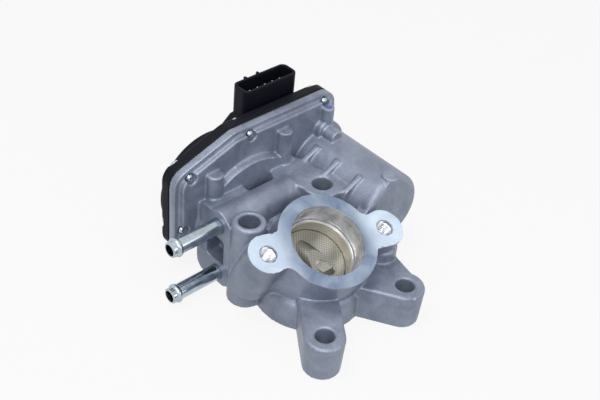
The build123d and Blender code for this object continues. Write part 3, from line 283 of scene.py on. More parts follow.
def milled_aluminium():
    """face-milled aluminium: cold blue white, clouded by smears, with a painted highlight that makes it
    whitest on the ears, and with arcs across
    """
    made, tree, shader, place = new_material("milled_aluminium", Metallic=0.85)
    # the arcs lie in the tilted face, with their middle well off it
    flat = add_node(tree, "ShaderNodeMapping", {}, {
        "Vector": place, "Rotation": (0, -PORT_TILT, 0), "Location": (0.055, 0.03, 0)})
    smear = add_node(tree, "ShaderNodeTexNoise", {}, {
        "Vector": flat.outputs["Vector"], "Scale": per_metre(22), "Detail": 3.0, "Roughness": 0.55,
        "Distortion": 1.6})
    # painted highlight: the colour turns lighter towards the two ears, as if the face reflected more light
    # there
    off_centre = add_node(tree, "ShaderNodeVectorMath", {"operation": "SUBTRACT"}, {
        0: place, 1: tuple(PORT_CENTRE)})
    along = add_node(tree, "ShaderNodeVectorMath", {"operation": "DOT_PRODUCT"}, {
        0: off_centre.outputs["Vector"], 1: tuple(EAR_WAY)})
    away = add_node(tree, "ShaderNodeMath", {"operation": "ABSOLUTE"}, {0: along.outputs["Value"]})
    ears = add_node(tree, "ShaderNodeMapRange", {"interpolation_type": "SMOOTHSTEP"}, {
        "Value": away.outputs[0], "From Min": 16 * MM, "From Max": 29 * MM, "To Max": 0.62})
    share = add_node(tree, "ShaderNodeMapRange", {}, {
        "Value": smear.outputs["Fac"], "From Min": 0.36, "From Max": 0.66, "To Min": 0.1, "To Max": 0.36})
    both = add_node(tree, "ShaderNodeMath", {"operation": "ADD", "use_clamp": True}, {
        0: share.outputs["Result"], 1: ears.outputs["Result"]})
    tone = add_node(tree, "ShaderNodeMix", {"data_type": "RGBA"}, {
        0: both.outputs[0], 6: (*chosen().milled_shade, 1), 7: (*chosen().milled_tone, 1)})
    tree.links.new(tone.outputs[2], shader.inputs["Base Color"])
    gloss = add_node(tree, "ShaderNodeMapRange", {}, {
        "Value": smear.outputs["Fac"], "From Min": 0.3, "From Max": 0.7, "To Min": 0.4, "To Max": 0.28})
    tree.links.new(gloss.outputs["Result"], shader.inputs["Roughness"])
    # cutter marks are 0.2 mm apart and are drawn 1.8 mm apart
    arcs = add_node(tree, "ShaderNodeTexWave", {"wave_type": "RINGS", "rings_direction": "Z"}, {
        "Vector": flat.outputs["Vector"], "Scale": bands(0.9), "Distortion": 0.3, "Detail": 1.0})
    marks = add_node(tree, "ShaderNodeBump", {}, {
        "Height": arcs.outputs["Fac"], "Distance": 0.01 * MM, "Strength": 0.3})
    tree.links.new(marks.outputs["Normal"], shader.inputs["Normal"])
    return made


def bored_aluminium():
    """bored aluminium: bright warm grey, ringed by the boring bar and browner where gas has reached"""
    made, tree, shader, place = new_material("bored_aluminium", Metallic=0.6, Roughness=0.26)
    along = add_node(tree, "ShaderNodeMapping", {}, {
        "Vector": place, "Rotation": (0, -PORT_TILT, 0)})
    # boring marks are 0.2 mm apart and are drawn 2.2 mm apart
    rings = add_node(tree, "ShaderNodeTexWave", {"bands_direction": "Z"}, {
        "Vector": along.outputs["Vector"], "Scale": bands(1.1), "Distortion": 0.5, "Detail": 3.0,
        "Detail Scale": 2.0})
    soot = add_node(tree, "ShaderNodeTexNoise", {}, {
        "Vector": along.outputs["Vector"], "Scale": per_metre(7), "Detail": 3.0})
    share = add_node(tree, "ShaderNodeMapRange", {}, {
        "Value": soot.outputs["Fac"], "From Min": 0.35, "From Max": 0.65})
    tone = add_node(tree, "ShaderNodeMix", {"data_type": "RGBA"}, {
        0: share.outputs["Result"], 6: paint("#b0b3bb"), 7: paint("#eef0f5")})
    lined = add_node(tree, "ShaderNodeMix", {"data_type": "RGBA", "blend_type": "MULTIPLY"}, {
        0: 0.14, 6: tone.outputs[2], 7: rings.outputs["Color"]})
    tree.links.new(lined.outputs[2], shader.inputs["Base Color"])
    marks = add_node(tree, "ShaderNodeBump", {}, {
        "Height": rings.outputs["Fac"], "Distance": 0.05 * MM, "Strength": 0.6})
    tree.links.new(marks.outputs["Normal"], shader.inputs["Normal"])
    return made


def tapped_aluminium():
    """freshly tapped aluminium thread: bright cold crests, with painted shade that darkens the roots
    between them
    """
    made, tree, shader, place = new_material("tapped_aluminium", Metallic=1.0, Roughness=0.34)
    tear = add_node(tree, "ShaderNodeTexNoise", {}, {
        "Vector": place, "Scale": per_metre(0.8), "Detail": 3.0})
    tone = add_node(tree, "ShaderNodeMix", {"data_type": "RGBA"}, {
        0: tear.outputs["Fac"], 6: paint("#9a9ea8"), 7: paint("#e2e4ea")})
    # painted shade: ambient occlusion darkens the roots of the thread and leaves the crests bright
    root_occlusion = add_node(tree, "ShaderNodeAmbientOcclusion", {"samples": 8, "only_local": True}, {
        "Distance": 0.9 * MM})
    depth = add_node(tree, "ShaderNodeMapRange", {}, {
        "Value": root_occlusion.outputs["AO"], "From Min": 0.5, "From Max": 0.95, "To Min": 0.03, "To Max": 0.9})
    root_shaded = add_node(tree, "ShaderNodeMix", {"data_type": "RGBA", "blend_type": "MULTIPLY"}, {
        0: 1.0, 6: tone.outputs[2], 7: depth.outputs["Result"]})
    tree.links.new(root_shaded.outputs[2], shader.inputs["Base Color"])
    return made


def turned_stainless():
    """turned stainless steel: warm straw grey with close rings round the port's axis"""
    made, tree, shader, place = new_material("turned_stainless", Metallic=0.8, Roughness=0.27)
    add_clouds(tree, shader, place, 6, 3.0, "#a5a29a", "#dad7ce")
    along = add_node(tree, "ShaderNodeMapping", {}, {
        "Vector": place, "Rotation": (0, -PORT_TILT, 0)})
    # turning marks are 0.1 mm apart and are drawn 1.4 mm apart
    rings = add_node(tree, "ShaderNodeTexWave", {"bands_direction": "Z"}, {
        "Vector": along.outputs["Vector"], "Scale": bands(0.7), "Distortion": 0.4, "Detail": 2.0})
    marks = add_node(tree, "ShaderNodeBump", {}, {
        "Height": rings.outputs["Fac"], "Distance": 0.04 * MM, "Strength": 0.4})
    tree.links.new(marks.outputs["Normal"], shader.inputs["Normal"])
    return made


def coined_stainless():
    """stainless flap, coined with a fine cross hatch: dull warm grey"""
    made, tree, shader, place = new_material("coined_stainless", Metallic=0.85, Roughness=0.4)
    lay = add_node(tree, "ShaderNodeMapping", {}, {
        "Vector": place, "Rotation": (0, 0, math.radians(40))})
    # the coined lines are 0.5 mm apart and are drawn 1.2 mm apart
    warp = add_node(tree, "ShaderNodeTexWave", {"bands_direction": "X"}, {
        "Vector": lay.outputs["Vector"], "Scale": bands(0.6)})
    weft = add_node(tree, "ShaderNodeTexWave", {"bands_direction": "Y"}, {
        "Vector": lay.outputs["Vector"], "Scale": bands(0.6)})
    hatch = add_node(tree, "ShaderNodeMath", {"operation": "MULTIPLY"}, {
        0: warp.outputs["Fac"], 1: weft.outputs["Fac"]})
    tone = add_node(tree, "ShaderNodeMix", {"data_type": "RGBA"}, {
        0: hatch.outputs[0], 6: paint("#88867e"), 7: paint("#b0aea5")})
    tree.links.new(tone.outputs[2], shader.inputs["Base Color"])
    relief = add_node(tree, "ShaderNodeBump", {}, {
        "Height": hatch.outputs[0], "Distance": 0.12 * MM, "Strength": 0.6})
    tree.links.new(relief.outputs["Normal"], shader.inputs["Normal"])
    return made


def zinc_plated_steel():
    """steel with bright zinc plate: silvery blue, slightly clouded and gently uneven"""
    made, tree, shader, place = new_material("zinc_plated_steel", Metallic=1.0)
    clouds = add_clouds(tree, shader, place, 4, 3.0, "#8f9ba6", "#cdd7de")
    gloss = add_node(tree, "ShaderNodeMapRange", {}, {
        "Value": clouds.outputs["Fac"], "From Min": 0.3, "From Max": 0.7, "To Min": 0.14, "To Max": 0.24})
    tree.links.new(gloss.outputs["Result"], shader.inputs["Roughness"])
    relief = add_node(tree, "ShaderNodeBump", {}, {
        "Height": clouds.outputs["Fac"], "Distance": 0.05 * MM, "Strength": 0.4})
    tree.links.new(relief.outputs["Normal"], shader.inputs["Normal"])
    return made


def ground_steel():
    """ground bearing steel: clean and bright"""
    made, tree, shader, place = new_material(
        "ground_steel", Metallic=1.0, Roughness=0.2, Base_Color=paint("#c6c8cc"))
    add_grain(tree, shader, place, 0.5, 0.01, 0.3)
    return made


def spring_wire():
    """drawn spring steel: dark grey with a dull shine"""
    made, tree, shader, place = new_material(
        "spring_wire", Metallic=1.0, Roughness=0.35, Base_Color=paint("#8d8f94"))
    add_grain(tree, shader, place, 0.4, 0.01, 0.4)
    return made


def moulded_black_plastic():
    """glass-filled PBT, moulded: near black with a blue cast, an even satin skin and faint flow lines"""
    made, tree, shader, place = new_material(
        "moulded_black_plastic", Roughness=0.5, IOR=1.5, Specular_IOR_Level=0.12)
    flow = add_node(tree, "ShaderNodeTexNoise", {}, {
        "Vector": place, "Scale": per_metre(9), "Detail": 3.0, "Distortion": 0.8})
    shade = chosen().cover_tone
    tone = add_node(tree, "ShaderNodeMix", {"data_type": "RGBA"}, {
        0: flow.outputs["Fac"], 6: (*[0.7 * c for c in shade], 1), 7: (*[1.3 * c for c in shade], 1)})
    tree.links.new(tone.outputs[2], shader.inputs["Base Color"])
    # the mould's spark grain is 0.15 mm and is drawn at 0.35 mm
    add_grain(tree, shader, place, 0.35, 0.03, 0.4)
    return made


def moulded_rubber():
    """nitrile rubber: black and dull"""
    made, tree, shader, place = new_material("moulded_rubber", Roughness=0.7, Base_Color=paint("#1d1d1f"))
    add_grain(tree, shader, place, 0.5, 0.02, 0.4)
    return made


def moulded_acetal():
    """natural acetal: ivory, slightly waxy"""
    made, tree, shader, place = new_material(
        "moulded_acetal", Roughness=0.38, IOR=1.48, Base_Color=paint("#d9d3c0"))
    add_grain(tree, shader, place, 0.8, 0.01, 0.3)
    return made


def sintered_ferrite():
    """sintered ferrite magnet: dark grey and slightly gritty"""
    made, tree, shader, place = new_material(
        "sintered_ferrite", Metallic=0.3, Roughness=0.55, Base_Color=paint("#3a3b3e"))
    add_grain(tree, shader, place, 0.3, 0.02, 0.4)
    return made


def brown_phenolic():
    """phenolic moulding of the brush card: dull brown with paler filler"""
    made, tree, shader, place = new_material("brown_phenolic", Roughness=0.5)
    add_clouds(tree, shader, place, 1.5, 3.0, "#4b3222", "#5f4430")
    return made


def tinned_copper():
    """tin-plated copper blades: pale warm silver"""
    made, tree, shader, place = new_material(
        "tinned_copper", Metallic=1.0, Roughness=0.28, Base_Color=paint("#d5d0c2"))
    add_grain(tree, shader, place, 0.4, 0.01, 0.3)
    return made


def green_solder_mask():
    """circuit board under solder mask: glossy green with the weave just showing"""
    made, tree, shader, place = new_material("green_solder_mask", Roughness=0.3)
    add_clouds(tree, shader, place, 1.2, 2.0, "#1d5a35", "#226a40")
    return made


def machined_brass():
    """free-cutting brass of the motor pinion: yellow and bright"""
    made, tree, shader, place = new_material(
        "machined_brass", Metallic=1.0, Roughness=0.25, Base_Color=paint("#d6b36a"))
    add_grain(tree, shader, place, 0.4, 0.01, 0.3)
    return made


def stamped_laminations():
    """stack of stamped steel sheets: thin lines along the shaft"""
    made, tree, shader, place = new_material(
        "stamped_laminations", Metallic=0.9, Roughness=0.42, Base_Color=paint("#6f7176"))
    # the sheets are 0.5 mm thick and are drawn twice as thick
    sheets = add_node(tree, "ShaderNodeTexWave", {"bands_direction": "X"}, {
        "Vector": place, "Scale": bands(0.5)})
    relief = add_node(tree, "ShaderNodeBump", {}, {
        "Height": sheets.outputs["Fac"], "Distance": 0.05 * MM, "Strength": 0.6})
    tree.links.new(relief.outputs["Normal"], shader.inputs["Normal"])
    return made


def enamelled_copper():
    """enamelled copper wire: reddish, glossy, with each strand showing"""
    made, tree, shader, place = new_material(
        "enamelled_copper", Metallic=0.9, Roughness=0.3, Base_Color=paint("#b3653a"))
    # the wire is 0.4 mm thick and its strands are drawn about twice as far apart
    strands = add_node(tree, "ShaderNodeTexWave", {"bands_direction": "DIAGONAL"}, {
        "Vector": place, "Scale": bands(0.4)})
    relief = add_node(tree, "ShaderNodeBump", {}, {
        "Height": strands.outputs["Fac"], "Distance": 0.08 * MM, "Strength": 0.8})
    tree.links.new(relief.outputs["Normal"], shader.inputs["Normal"])
    return made


def marking_paint():
    """inspector's paint dab: ultramarine enamel, uneven where the brush left it thin"""
    made, tree, shader, place = new_material("marking_paint", Roughness=0.45)
    add_clouds(tree, shader, place, 1.2, 3.0, "#2a3f9e", "#5a74c8")
    return made


FINISHES = {
    "cast_aluminium": die_cast_aluminium,
    "stainless_steel": turned_stainless,
    "spring_steel": spring_wire,
    "bearing_steel": ground_steel,
    "zinc_steel": zinc_plated_steel,
    "rubber": moulded_rubber,
    "gear_plastic": moulded_acetal,
    "magnet": sintered_ferrite,
    "brown_plastic": brown_phenolic,
    "tinned_copper": tinned_copper,
    "black_plastic": moulded_black_plastic,
    "circuit_board": green_solder_mask,
    "brass": machined_brass,
    "lamination_steel": stamped_laminations,
    "copper_wire": enamelled_copper,
}
# finishes of the casting's faces: as cast, milled flat and bored
CASTING_FINISHES = (die_cast_aluminium, milled_aluminium, bored_aluminium)


def finish_of(make):
    """the material that a finish function makes, made once"""
    return bpy.data.materials.get(make.__name__) or make()


def new_piece(name, mesh, body, materials, replaced=()):
    """links a finished mesh as a piece that rides on a body"""
    piece = bpy.data.objects.new(name, mesh)
    bpy.context.scene.collection.objects.link(piece)
    if list(mesh.materials) != materials:
        mesh.materials.clear()
        for material in materials:
            mesh.materials.append(material)
    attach(piece, body)
    if replaced:
        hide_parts(*replaced)
    return piece


def merged_copy(node):
    """copy of a CAD node's mesh with its loose triangles joined"""
    joined = bmesh.new()
    joined.from_mesh(frame["nodes"][node].data)
    bmesh.ops.remove_doubles(joined, verts=joined.verts, dist=0.002 * MM)
    mesh = bpy.data.meshes.new(node + "_copy")
    joined.to_mesh(mesh)
    joined.free()
    return mesh


def held_mesh(mesh):
    """object that carries a mesh while modifiers work on it"""
    holder = bpy.data.objects.new("holder", mesh)
    bpy.context.scene.collection.objects.link(holder)
    return holder


def taken_from(holder):
    """the mesh that a holder's modifiers make; the holder goes"""
    made = bpy.data.meshes.new_from_object(
        holder.evaluated_get(bpy.context.evaluated_depsgraph_get()))
    bpy.data.objects.remove(holder)
    return made


def applied(mesh, *modifiers, groups=None):
    """the mesh after these modifiers, each a kind and its settings"""
    holder = held_mesh(mesh)
    for name, weights in (groups or {}).items():
        group = holder.vertex_groups.new(name=name)
        for weight in np.unique(weights):
            group.add(np.nonzero(weights == weight)[0].tolist(), float(weight), "REPLACE")
    for kind, settings in modifiers:
        modifier = holder.modifiers.new(kind, kind)
        for key, value in settings.items():
            setattr(modifier, key, value)
    return taken_from(holder)


def squared_skin(node, grain):
    """skin of a CAD node made of small squares with this edge"""
    return applied(merged_copy(node), ("REMESH", {
        "mode": "VOXEL", "voxel_size": grain, "use_smooth_shade": True}))


def thinned_out(mesh, triangles):
    """a mesh of squares brought down to this many triangles"""
    return applied(mesh, ("DECIMATE", {"ratio": triangles / (2 * len(mesh.polygons))}))


def points_and_normals(mesh):
    """vertex places and normals as arrays"""
    places = np.zeros(len(mesh.vertices) * 3, np.float32)
    mesh.vertices.foreach_get("co", places)
    normals = np.zeros(len(mesh.vertices) * 3, np.float32)
    mesh.vertex_normals.foreach_get("vector", normals)
    return places.reshape(-1, 3).astype(float), normals.reshape(-1, 3).astype(float)


def from_axis(places, origin, axis):
    """height along an axis, and the way and distance out from it"""
    axis = np.array(axis)
    offset = places - np.array(origin)
    height = offset @ axis
    out = offset - height[:, None] * axis
    distance = np.linalg.norm(out, axis=1)
    return height, out / np.maximum(distance, 1e-9)[:, None], distance


def ear_centres():
    """middles of the two tapped ears on the flange face"""
    return [PORT_CENTRE + side * EAR_REACH * EAR_WAY for side in (1, -1)]


def machined_planes():
    """cut flats of the casting: origin, outward normal, how far each reaches from its origin"""
    return [(PORT_CENTRE, PORT_AXIS, FLANGE_R),
            *[(ear, PORT_AXIS, EAR_R + FLAT_RIM_SLACK) for ear in ear_centres()],
            (Vector((0, 0, 0)), Vector((0, 0, -1)), WHOLE_SIDE),
            (Vector((CASE_JOINT_X, 0, 0)), Vector((-1, 0, 0)), WHOLE_SIDE)]


def machined_holes():
    """bored and drilled holes of the casting: origin, axis, radius, lowest and highest place on the axis"""
    feet = [Vector((x, y, 0)) * MM for x, y in FOOT_HOLES]
    return ([(PORT_CENTRE, PORT_AXIS, PORT_R, -PORT_DEPTH, 0)]
            + [(ear, PORT_AXIS, EAR_HOLE_R, -EAR_HOLE_DEPTH, 0) for ear in ear_centres()]
            + [(foot, Vector((0, 0, 1)), FOOT_HOLE_R, 0, FOOT_HOLE_DEPTH) for foot in feet])


def near_cuts(places, normals, reach, lean, flat_lean):
    """kind of cut surface at each point, 0 none, 1 flat, 2 hole, and the point moved onto it"""
    snapped = places.copy()
    kinds = np.zeros(len(places), np.int32)
    for origin, axis, radius, low, high in machined_holes():
        height, out, distance = from_axis(places, origin, axis)
        here = (abs(distance - radius) < reach) & (height > low - reach) & (height < high + reach)
        here &= np.einsum("ij,ij->i", normals, out) < -lean
        snapped[here] += (out * (radius - distance)[:, None])[here]
        kinds[here] = 2
    for origin, axis, size in machined_planes():
        height, _, distance = from_axis(places, origin, axis)
        here = (abs(height) < reach) & (distance < size) & (normals @ np.array(axis) > flat_lean)
        snapped[here] -= height[here, None] * np.array(axis)
        kinds[here] = 1
    return kinds, snapped


class ValveSizes(bpy.types.PropertyGroup):
    """sizes and colours of the dressing"""
    cast_tone: bpy.props.FloatVectorProperty(
        name="Cast skin", description="Lighter colour of the blasted die-cast skin",
        subtype="COLOR", size=3, default=paint("#8f97a8")[:3], min=0, max=1)
    cast_shade: bpy.props.FloatVectorProperty(
        name="Cast skin, flow marks", description="Darker colour of the flow marks in the cast skin",
        subtype="COLOR", size=3, default=paint("#6f7788")[:3], min=0, max=1)
    # the lighter colour shows most on the ears, where it is a painted highlight
    milled_tone: bpy.props.FloatVectorProperty(
        name="Milled face", description="Lighter colour of the milled flange face",
        subtype="COLOR", size=3, default=paint("#dbeafa")[:3], min=0, max=1)
    milled_shade: bpy.props.FloatVectorProperty(
        name="Milled face, smears", description="Darker colour of the cutter's smears",
        subtype="COLOR", size=3, default=paint("#60708c")[:3], min=0, max=1)
    cover_tone: bpy.props.FloatVectorProperty(
        name="Cover", description="Colour of the moulded gear cover",
        subtype="COLOR", size=3, default=paint("#0e1018")[:3], min=0, max=1)
    floor_tint: bpy.props.FloatVectorProperty(
        name="Floor", description="Colour of the floor",
        subtype="COLOR", size=3, default=paint("#ffffff")[:3], min=0, max=1)
    cast_grain: bpy.props.FloatProperty(
        name="Cast mesh", description="Edge of the small squares that the cast skin's mesh is made of",
        subtype="DISTANCE", unit="LENGTH", default=0.5 * MM, min=0.3 * MM, max=2 * MM)
    cast_rounding: bpy.props.IntProperty(
        name="Cast rounding", default=7, min=0, max=40,
        description="Passes of smoothing that round the cast edges and fill the corners")
    thread_pitch: bpy.props.FloatProperty(
        name="Ear thread pitch", description="Distance from one thread turn to the next in the tapped ears",
        subtype="DISTANCE", unit="LENGTH", default=1.25 * MM, min=0.5 * MM, max=3 * MM)
    thread_depth: bpy.props.FloatProperty(
        name="Ear thread depth", description="Size of the thread's ridge on the hole's wall",
        subtype="DISTANCE", unit="LENGTH", default=0.62 * MM, min=0.1 * MM, max=1 * MM)


class EGR_OT_finishes(bpy.types.Operator):
    """Give each CAD node the finish of its material slot"""
    bl_idname = "egr.finishes"
    bl_label = "Finishes"

    def execute(self, context):
        for sub in frame["record"]["subparts"]:
            target = frame["nodes"][sub["node"]]
            material = finish_of(FINISHES[sub["material_slot"]])
            if sub["node"] == "flap":
                material = finish_of(coined_stainless)
            if not target.material_slots:
                target.data.materials.append(material)
            for slot in target.material_slots:
                slot.material = material
        return {"FINISHED"}


class EGR_OT_casting(bpy.types.Operator):
    """Make the body casting's skin: rounded cast edges, and crisp flats and holes where it is machined"""
    bl_idname = "egr.casting"
    bl_label = "Body casting"

    def execute(self, context):
        sizes = chosen()
        squared = squared_skin("valve_body", sizes.cast_grain)
        held, _ = near_cuts(*points_and_normals(squared), HELD_REACH, HELD_LEAN, HELD_LEAN)
        rounded = applied(squared, ("SMOOTH", {
            "factor": SMOOTH_SHARE, "iterations": sizes.cast_rounding, "vertex_group": "cast"}),
            groups={"cast": np.where(held > 0, 0.0, 1.0)})
        self.set_on_cuts(rounded, SMOOTHED_REACH, SMOOTHED_LEAN)
        thinned = thinned_out(rounded, CASTING_TRIANGLES)
        self.set_on_cuts(thinned, THINNED_REACH, THINNED_LEAN)
        self.mark_cuts(thinned)
        thinned.set_sharp_from_angle(angle=CASTING_SHARP)
        self.sharpen_borders(thinned)
        casting = applied(thinned, ("WEIGHTED_NORMAL", {"keep_sharp": True}))
        new_piece("body_casting", casting, "housing",
                  [finish_of(make) for make in CASTING_FINISHES], ["valve_body"])
        return {"FINISHED"}

    def set_on_cuts(self, mesh, reach, flat_lean):
        """move the points that are nearly on a machined surface onto it"""
        _, snapped = near_cuts(*points_and_normals(mesh), reach, HOLE_LEAN, flat_lean)
        mesh.vertices.foreach_set("co", snapped.astype(np.float32).ravel())
        mesh.update()

    def sharpen_borders(self, casting):
        """sharp edges where one finish meets another"""
        sides = np.zeros(len(casting.loops), np.int32)
        casting.loops.foreach_get("edge_index", sides)
        sizes = np.zeros(len(casting.polygons), np.int32)
        casting.polygons.foreach_get("loop_total", sizes)
        marks = np.zeros(len(casting.polygons), np.int32)
        casting.polygons.foreach_get("material_index", marks)
        marks = np.repeat(marks, sizes)
        most = np.full(len(casting.edges), -1, np.int32)
        least = np.full(len(casting.edges), len(CASTING_FINISHES), np.int32)
        np.maximum.at(most, sides, marks)
        np.minimum.at(least, sides, marks)
        sharp = np.zeros(len(casting.edges), bool)
        casting.edges.foreach_get("use_edge_sharp", sharp)
        casting.edges.foreach_set("use_edge_sharp", sharp | (most != least))

    def mark_cuts(self, casting):
        """give the flange face, the feet's soles, the case joint and the holes their machined finishes"""
        places, _ = points_and_normals(casting)
        corners = np.zeros(len(casting.loops), np.int32)
        casting.loops.foreach_get("vertex_index", corners)
        starts = np.zeros(len(casting.polygons), np.int32)
        casting.polygons.foreach_get("loop_start", starts)
        facing = np.zeros(len(casting.polygons) * 3, np.float32)
        casting.polygons.foreach_get("normal", facing)
        facing = facing.reshape(-1, 3)
        marks = np.zeros(len(casting.polygons), np.int32)
        for origin, axis, size in machined_planes():
            height, _, distance = from_axis(places, origin, axis)
            on_cut = (abs(height) < FLAT_SLACK) & (distance < size + FLAT_RIM_SLACK)
            level = facing @ np.array(axis) > FLAT_LEVEL
            marks[np.logical_and.reduceat(on_cut[corners], starts) & level] = 1
        for origin, axis, radius, low, high in machined_holes():
            height, _, distance = from_axis(places, origin, axis)
            on_cut = abs(distance - radius) < WALL_SLACK
            on_cut &= (height > low - WALL_LOW_SLACK) & (height < high + WALL_HIGH_SLACK)
            marks[np.logical_and.reduceat(on_cut[corners], starts)] = 2
        for make in CASTING_FINISHES:
            casting.materials.append(finish_of(make))
        casting.polygons.foreach_set("material_index", marks)


class EGR_OT_cover(bpy.types.Operator):
    """Make the gear cover's moulded skin with softly rounded edges"""
    bl_idname = "egr.cover"
    bl_label = "Gear cover"

    def execute(self, context):
        squared = squared_skin("gear_cover", COVER_GRAIN)
        rounded = applied(squared, ("SMOOTH", {"factor": SMOOTH_SHARE, "iterations": COVER_ROUNDING}))
        thinned = thinned_out(rounded, COVER_TRIANGLES)
        thinned.set_sharp_from_angle(angle=COVER_SHARP)
        cover = applied(thinned, ("WEIGHTED_NORMAL", {"keep_sharp": True}))
        new_piece("moulded_cover", cover, "housing",
                  [finish_of(moulded_black_plastic)], ["gear_cover"])
        return {"FINISHED"}


def group_with(name, inputs):
    """geometry node group with these named inputs, and its input node"""
    tree = bpy.data.node_groups.new(name, "GeometryNodeTree")
    tree.interface.new_socket("Geometry", in_out="INPUT", socket_type="NodeSocketGeometry")
    for label, kind, value in inputs:
        socket = tree.interface.new_socket(label, in_out="INPUT", socket_type=kind)
        if value is not None:
            socket.default_value = value
    tree.interface.new_socket("Geometry", in_out="OUTPUT", socket_type="NodeSocketGeometry")
    entry = add_node(tree, "NodeGroupInput", {}, {})
    return tree, entry


def close_group(tree, geometry, material, smooth=True):
    """ends a tree in real geometry with its material, shaded smooth or flat"""
    real = add_node(tree, "GeometryNodeRealizeInstances", {}, {"Geometry": geometry})
    finished = add_node(tree, "GeometryNodeSetMaterial", {}, {
        "Geometry": real.outputs["Geometry"], "Material": material})
    shaded = add_node(tree, "GeometryNodeSetShadeSmooth", {}, {
        "Geometry": finished.outputs["Geometry"], "Shade Smooth": smooth})
    add_node(tree, "NodeGroupOutput", {"is_active_output": True}, {"Geometry": shaded.outputs["Geometry"]})


def grown(mesh, tree, values):
    """the plain mesh that a geometry tree makes from a mesh and its inputs by name"""
    holder = held_mesh(mesh)
    modifier = holder.modifiers.new("tree", "NODES")
    modifier.node_group = tree
    for item in tree.interface.items_tree:
        if item.in_out == "INPUT" and item.name in values:
            modifier[item.identifier] = values[item.name]
    return taken_from(holder)


def thread_tree():
    """a thread as a triangular ridge along a spiral, placed in its hole"""
    tree, entry = group_with("ear_thread", [
        ("Turns", "NodeSocketFloat", 10.0), ("Hole Radius", "NodeSocketFloat", 4.0 * MM),
        ("Pitch", "NodeSocketFloat", 1.25 * MM), ("Depth", "NodeSocketFloat", 0.6 * MM),
        ("Place", "NodeSocketVector", (0, 0, 0)), ("Tilt", "NodeSocketVector", (0, 0, 0)),
        ("Material", "NodeSocketMaterial", None)])
    length = add_node(tree, "ShaderNodeMath", {"operation": "MULTIPLY"}, {
        0: entry.outputs["Turns"], 1: entry.outputs["Pitch"]})
    path = add_node(tree, "GeometryNodeCurveSpiral", {}, {
        "Resolution": THREAD_STEPS, "Rotations": entry.outputs["Turns"],
        "Start Radius": entry.outputs["Hole Radius"], "End Radius": entry.outputs["Hole Radius"],
        "Height": length.outputs[0]})
    ridge = add_node(tree, "GeometryNodeCurvePrimitiveCircle", {}, {
        "Resolution": 3, "Radius": entry.outputs["Depth"]})
    level = add_node(tree, "GeometryNodeSetCurveNormal", {"mode": "Z_UP"}, {"Curve": path.outputs["Curve"]})
    swept = add_node(tree, "GeometryNodeCurveToMesh", {}, {
        "Curve": level.outputs["Curve"], "Profile Curve": ridge.outputs["Curve"], "Fill Caps": True})
    placed = add_node(tree, "GeometryNodeTransform", {}, {
        "Geometry": swept.outputs["Mesh"], "Translation": entry.outputs["Place"],
        "Rotation": entry.outputs["Tilt"]})
    close_group(tree, placed.outputs["Geometry"], entry.outputs["Material"], smooth=False)
    return tree


def row_tree():
    """like pieces set on the vertices of a mesh, each turned about X by its own seeded angle"""
    tree, entry = group_with("like_pieces", [
        ("Piece", "NodeSocketObject", None), ("Most Turn", "NodeSocketFloat", 0.0),
        ("Seed", "NodeSocketInt", 3), ("Material", "NodeSocketMaterial", None)])
    piece = add_node(tree, "GeometryNodeObjectInfo", {}, {"Object": entry.outputs["Piece"]})
    angle = add_node(tree, "FunctionNodeRandomValue", {"data_type": "FLOAT"}, {
        "Max": entry.outputs["Most Turn"], "Seed": entry.outputs["Seed"]})
    turn = add_node(tree, "ShaderNodeCombineXYZ", {}, {"X": angle.outputs[1]})
    points = add_node(tree, "GeometryNodeMeshToPoints", {}, {"Mesh": entry.outputs["Geometry"]})
    copies = add_node(tree, "GeometryNodeInstanceOnPoints", {}, {
        "Points": points.outputs["Points"], "Instance": piece.outputs["Geometry"],
        "Rotation": turn.outputs["Vector"]})
    close_group(tree, copies.outputs["Instances"], entry.outputs["Material"])
    return tree


def skin_rings(shape, rings):
    """faces from each ring of points to the next; a ring of one point closes in a fan"""
    for first, second in zip(rings, rings[1:]):
        steps = max(len(first), len(second))
        for i in range(steps):
            j = (i + 1) % steps
            if len(first) == 1:
                shape.faces.new((first[0], second[j], second[i]))
            elif len(second) == 1:
                shape.faces.new((first[i], first[j], second[0]))
            else:
                shape.faces.new((first[i], first[j], second[j], second[i]))


def lathe(profile, steps):
    """closed solid turned from a profile of places along the axis and radii, both in millimetres"""
    shape = bmesh.new()
    rings = []
    for along, radius in profile:
        if radius == 0:
            rings.append([shape.verts.new(Vector((along, 0, 0)) * MM)])
            continue
        turns = [2 * math.pi * i / steps for i in range(steps)]
        rings.append([shape.verts.new(Vector((
            along, radius * math.cos(turn), radius * math.sin(turn))) * MM) for turn in turns])
    skin_rings(shape, rings)
    bmesh.ops.recalc_face_normals(shape, faces=shape.faces)
    return shape


def loose_boxes(node):
    """lowest and highest corners of each separate solid in a CAD node"""
    shape = bmesh.new()
    shape.from_mesh(merged_copy(node))
    left = set(shape.verts)
    boxes = []
    while left:
        island = {left.pop()}
        edge = list(island)
        while edge:
            for link in edge.pop().link_edges:
                for vertex in link.verts:
                    if vertex in left:
                        left.remove(vertex)
                        island.add(vertex)
                        edge.append(vertex)
        places = np.array([v.co for v in island])
        boxes.append((Vector(places.min(0)), Vector(places.max(0))))
    shape.free()
    return sorted(boxes, key=lambda box: tuple(box[0]))


class EGR_OT_threads(bpy.types.Operator):
    """Wind the threads into the holes of the two tapped ears"""
    bl_idname = "egr.threads"
    bl_label = "Ear threads"

    def execute(self, context):
        sizes = chosen()
        tree = thread_tree()
        for name, ear in zip(("rear_ear_thread", "front_ear_thread"), ear_centres()):
            start = ear - PORT_AXIS * (THREAD_LENGTH + THREAD_SETBACK)
            mesh = grown(bpy.data.meshes.new(name + "_start"), tree, {
                "Turns": THREAD_LENGTH / sizes.thread_pitch, "Pitch": sizes.thread_pitch,
                "Hole Radius": EAR_HOLE_R - THREAD_WALL_GAP, "Depth": sizes.thread_depth,
                "Place": tuple(start), "Tilt": (0, PORT_TILT, 0), "Material": finish_of(tapped_aluminium)})
            new_piece(name, mesh, "housing", [finish_of(tapped_aluminium)])
        return {"FINISHED"}


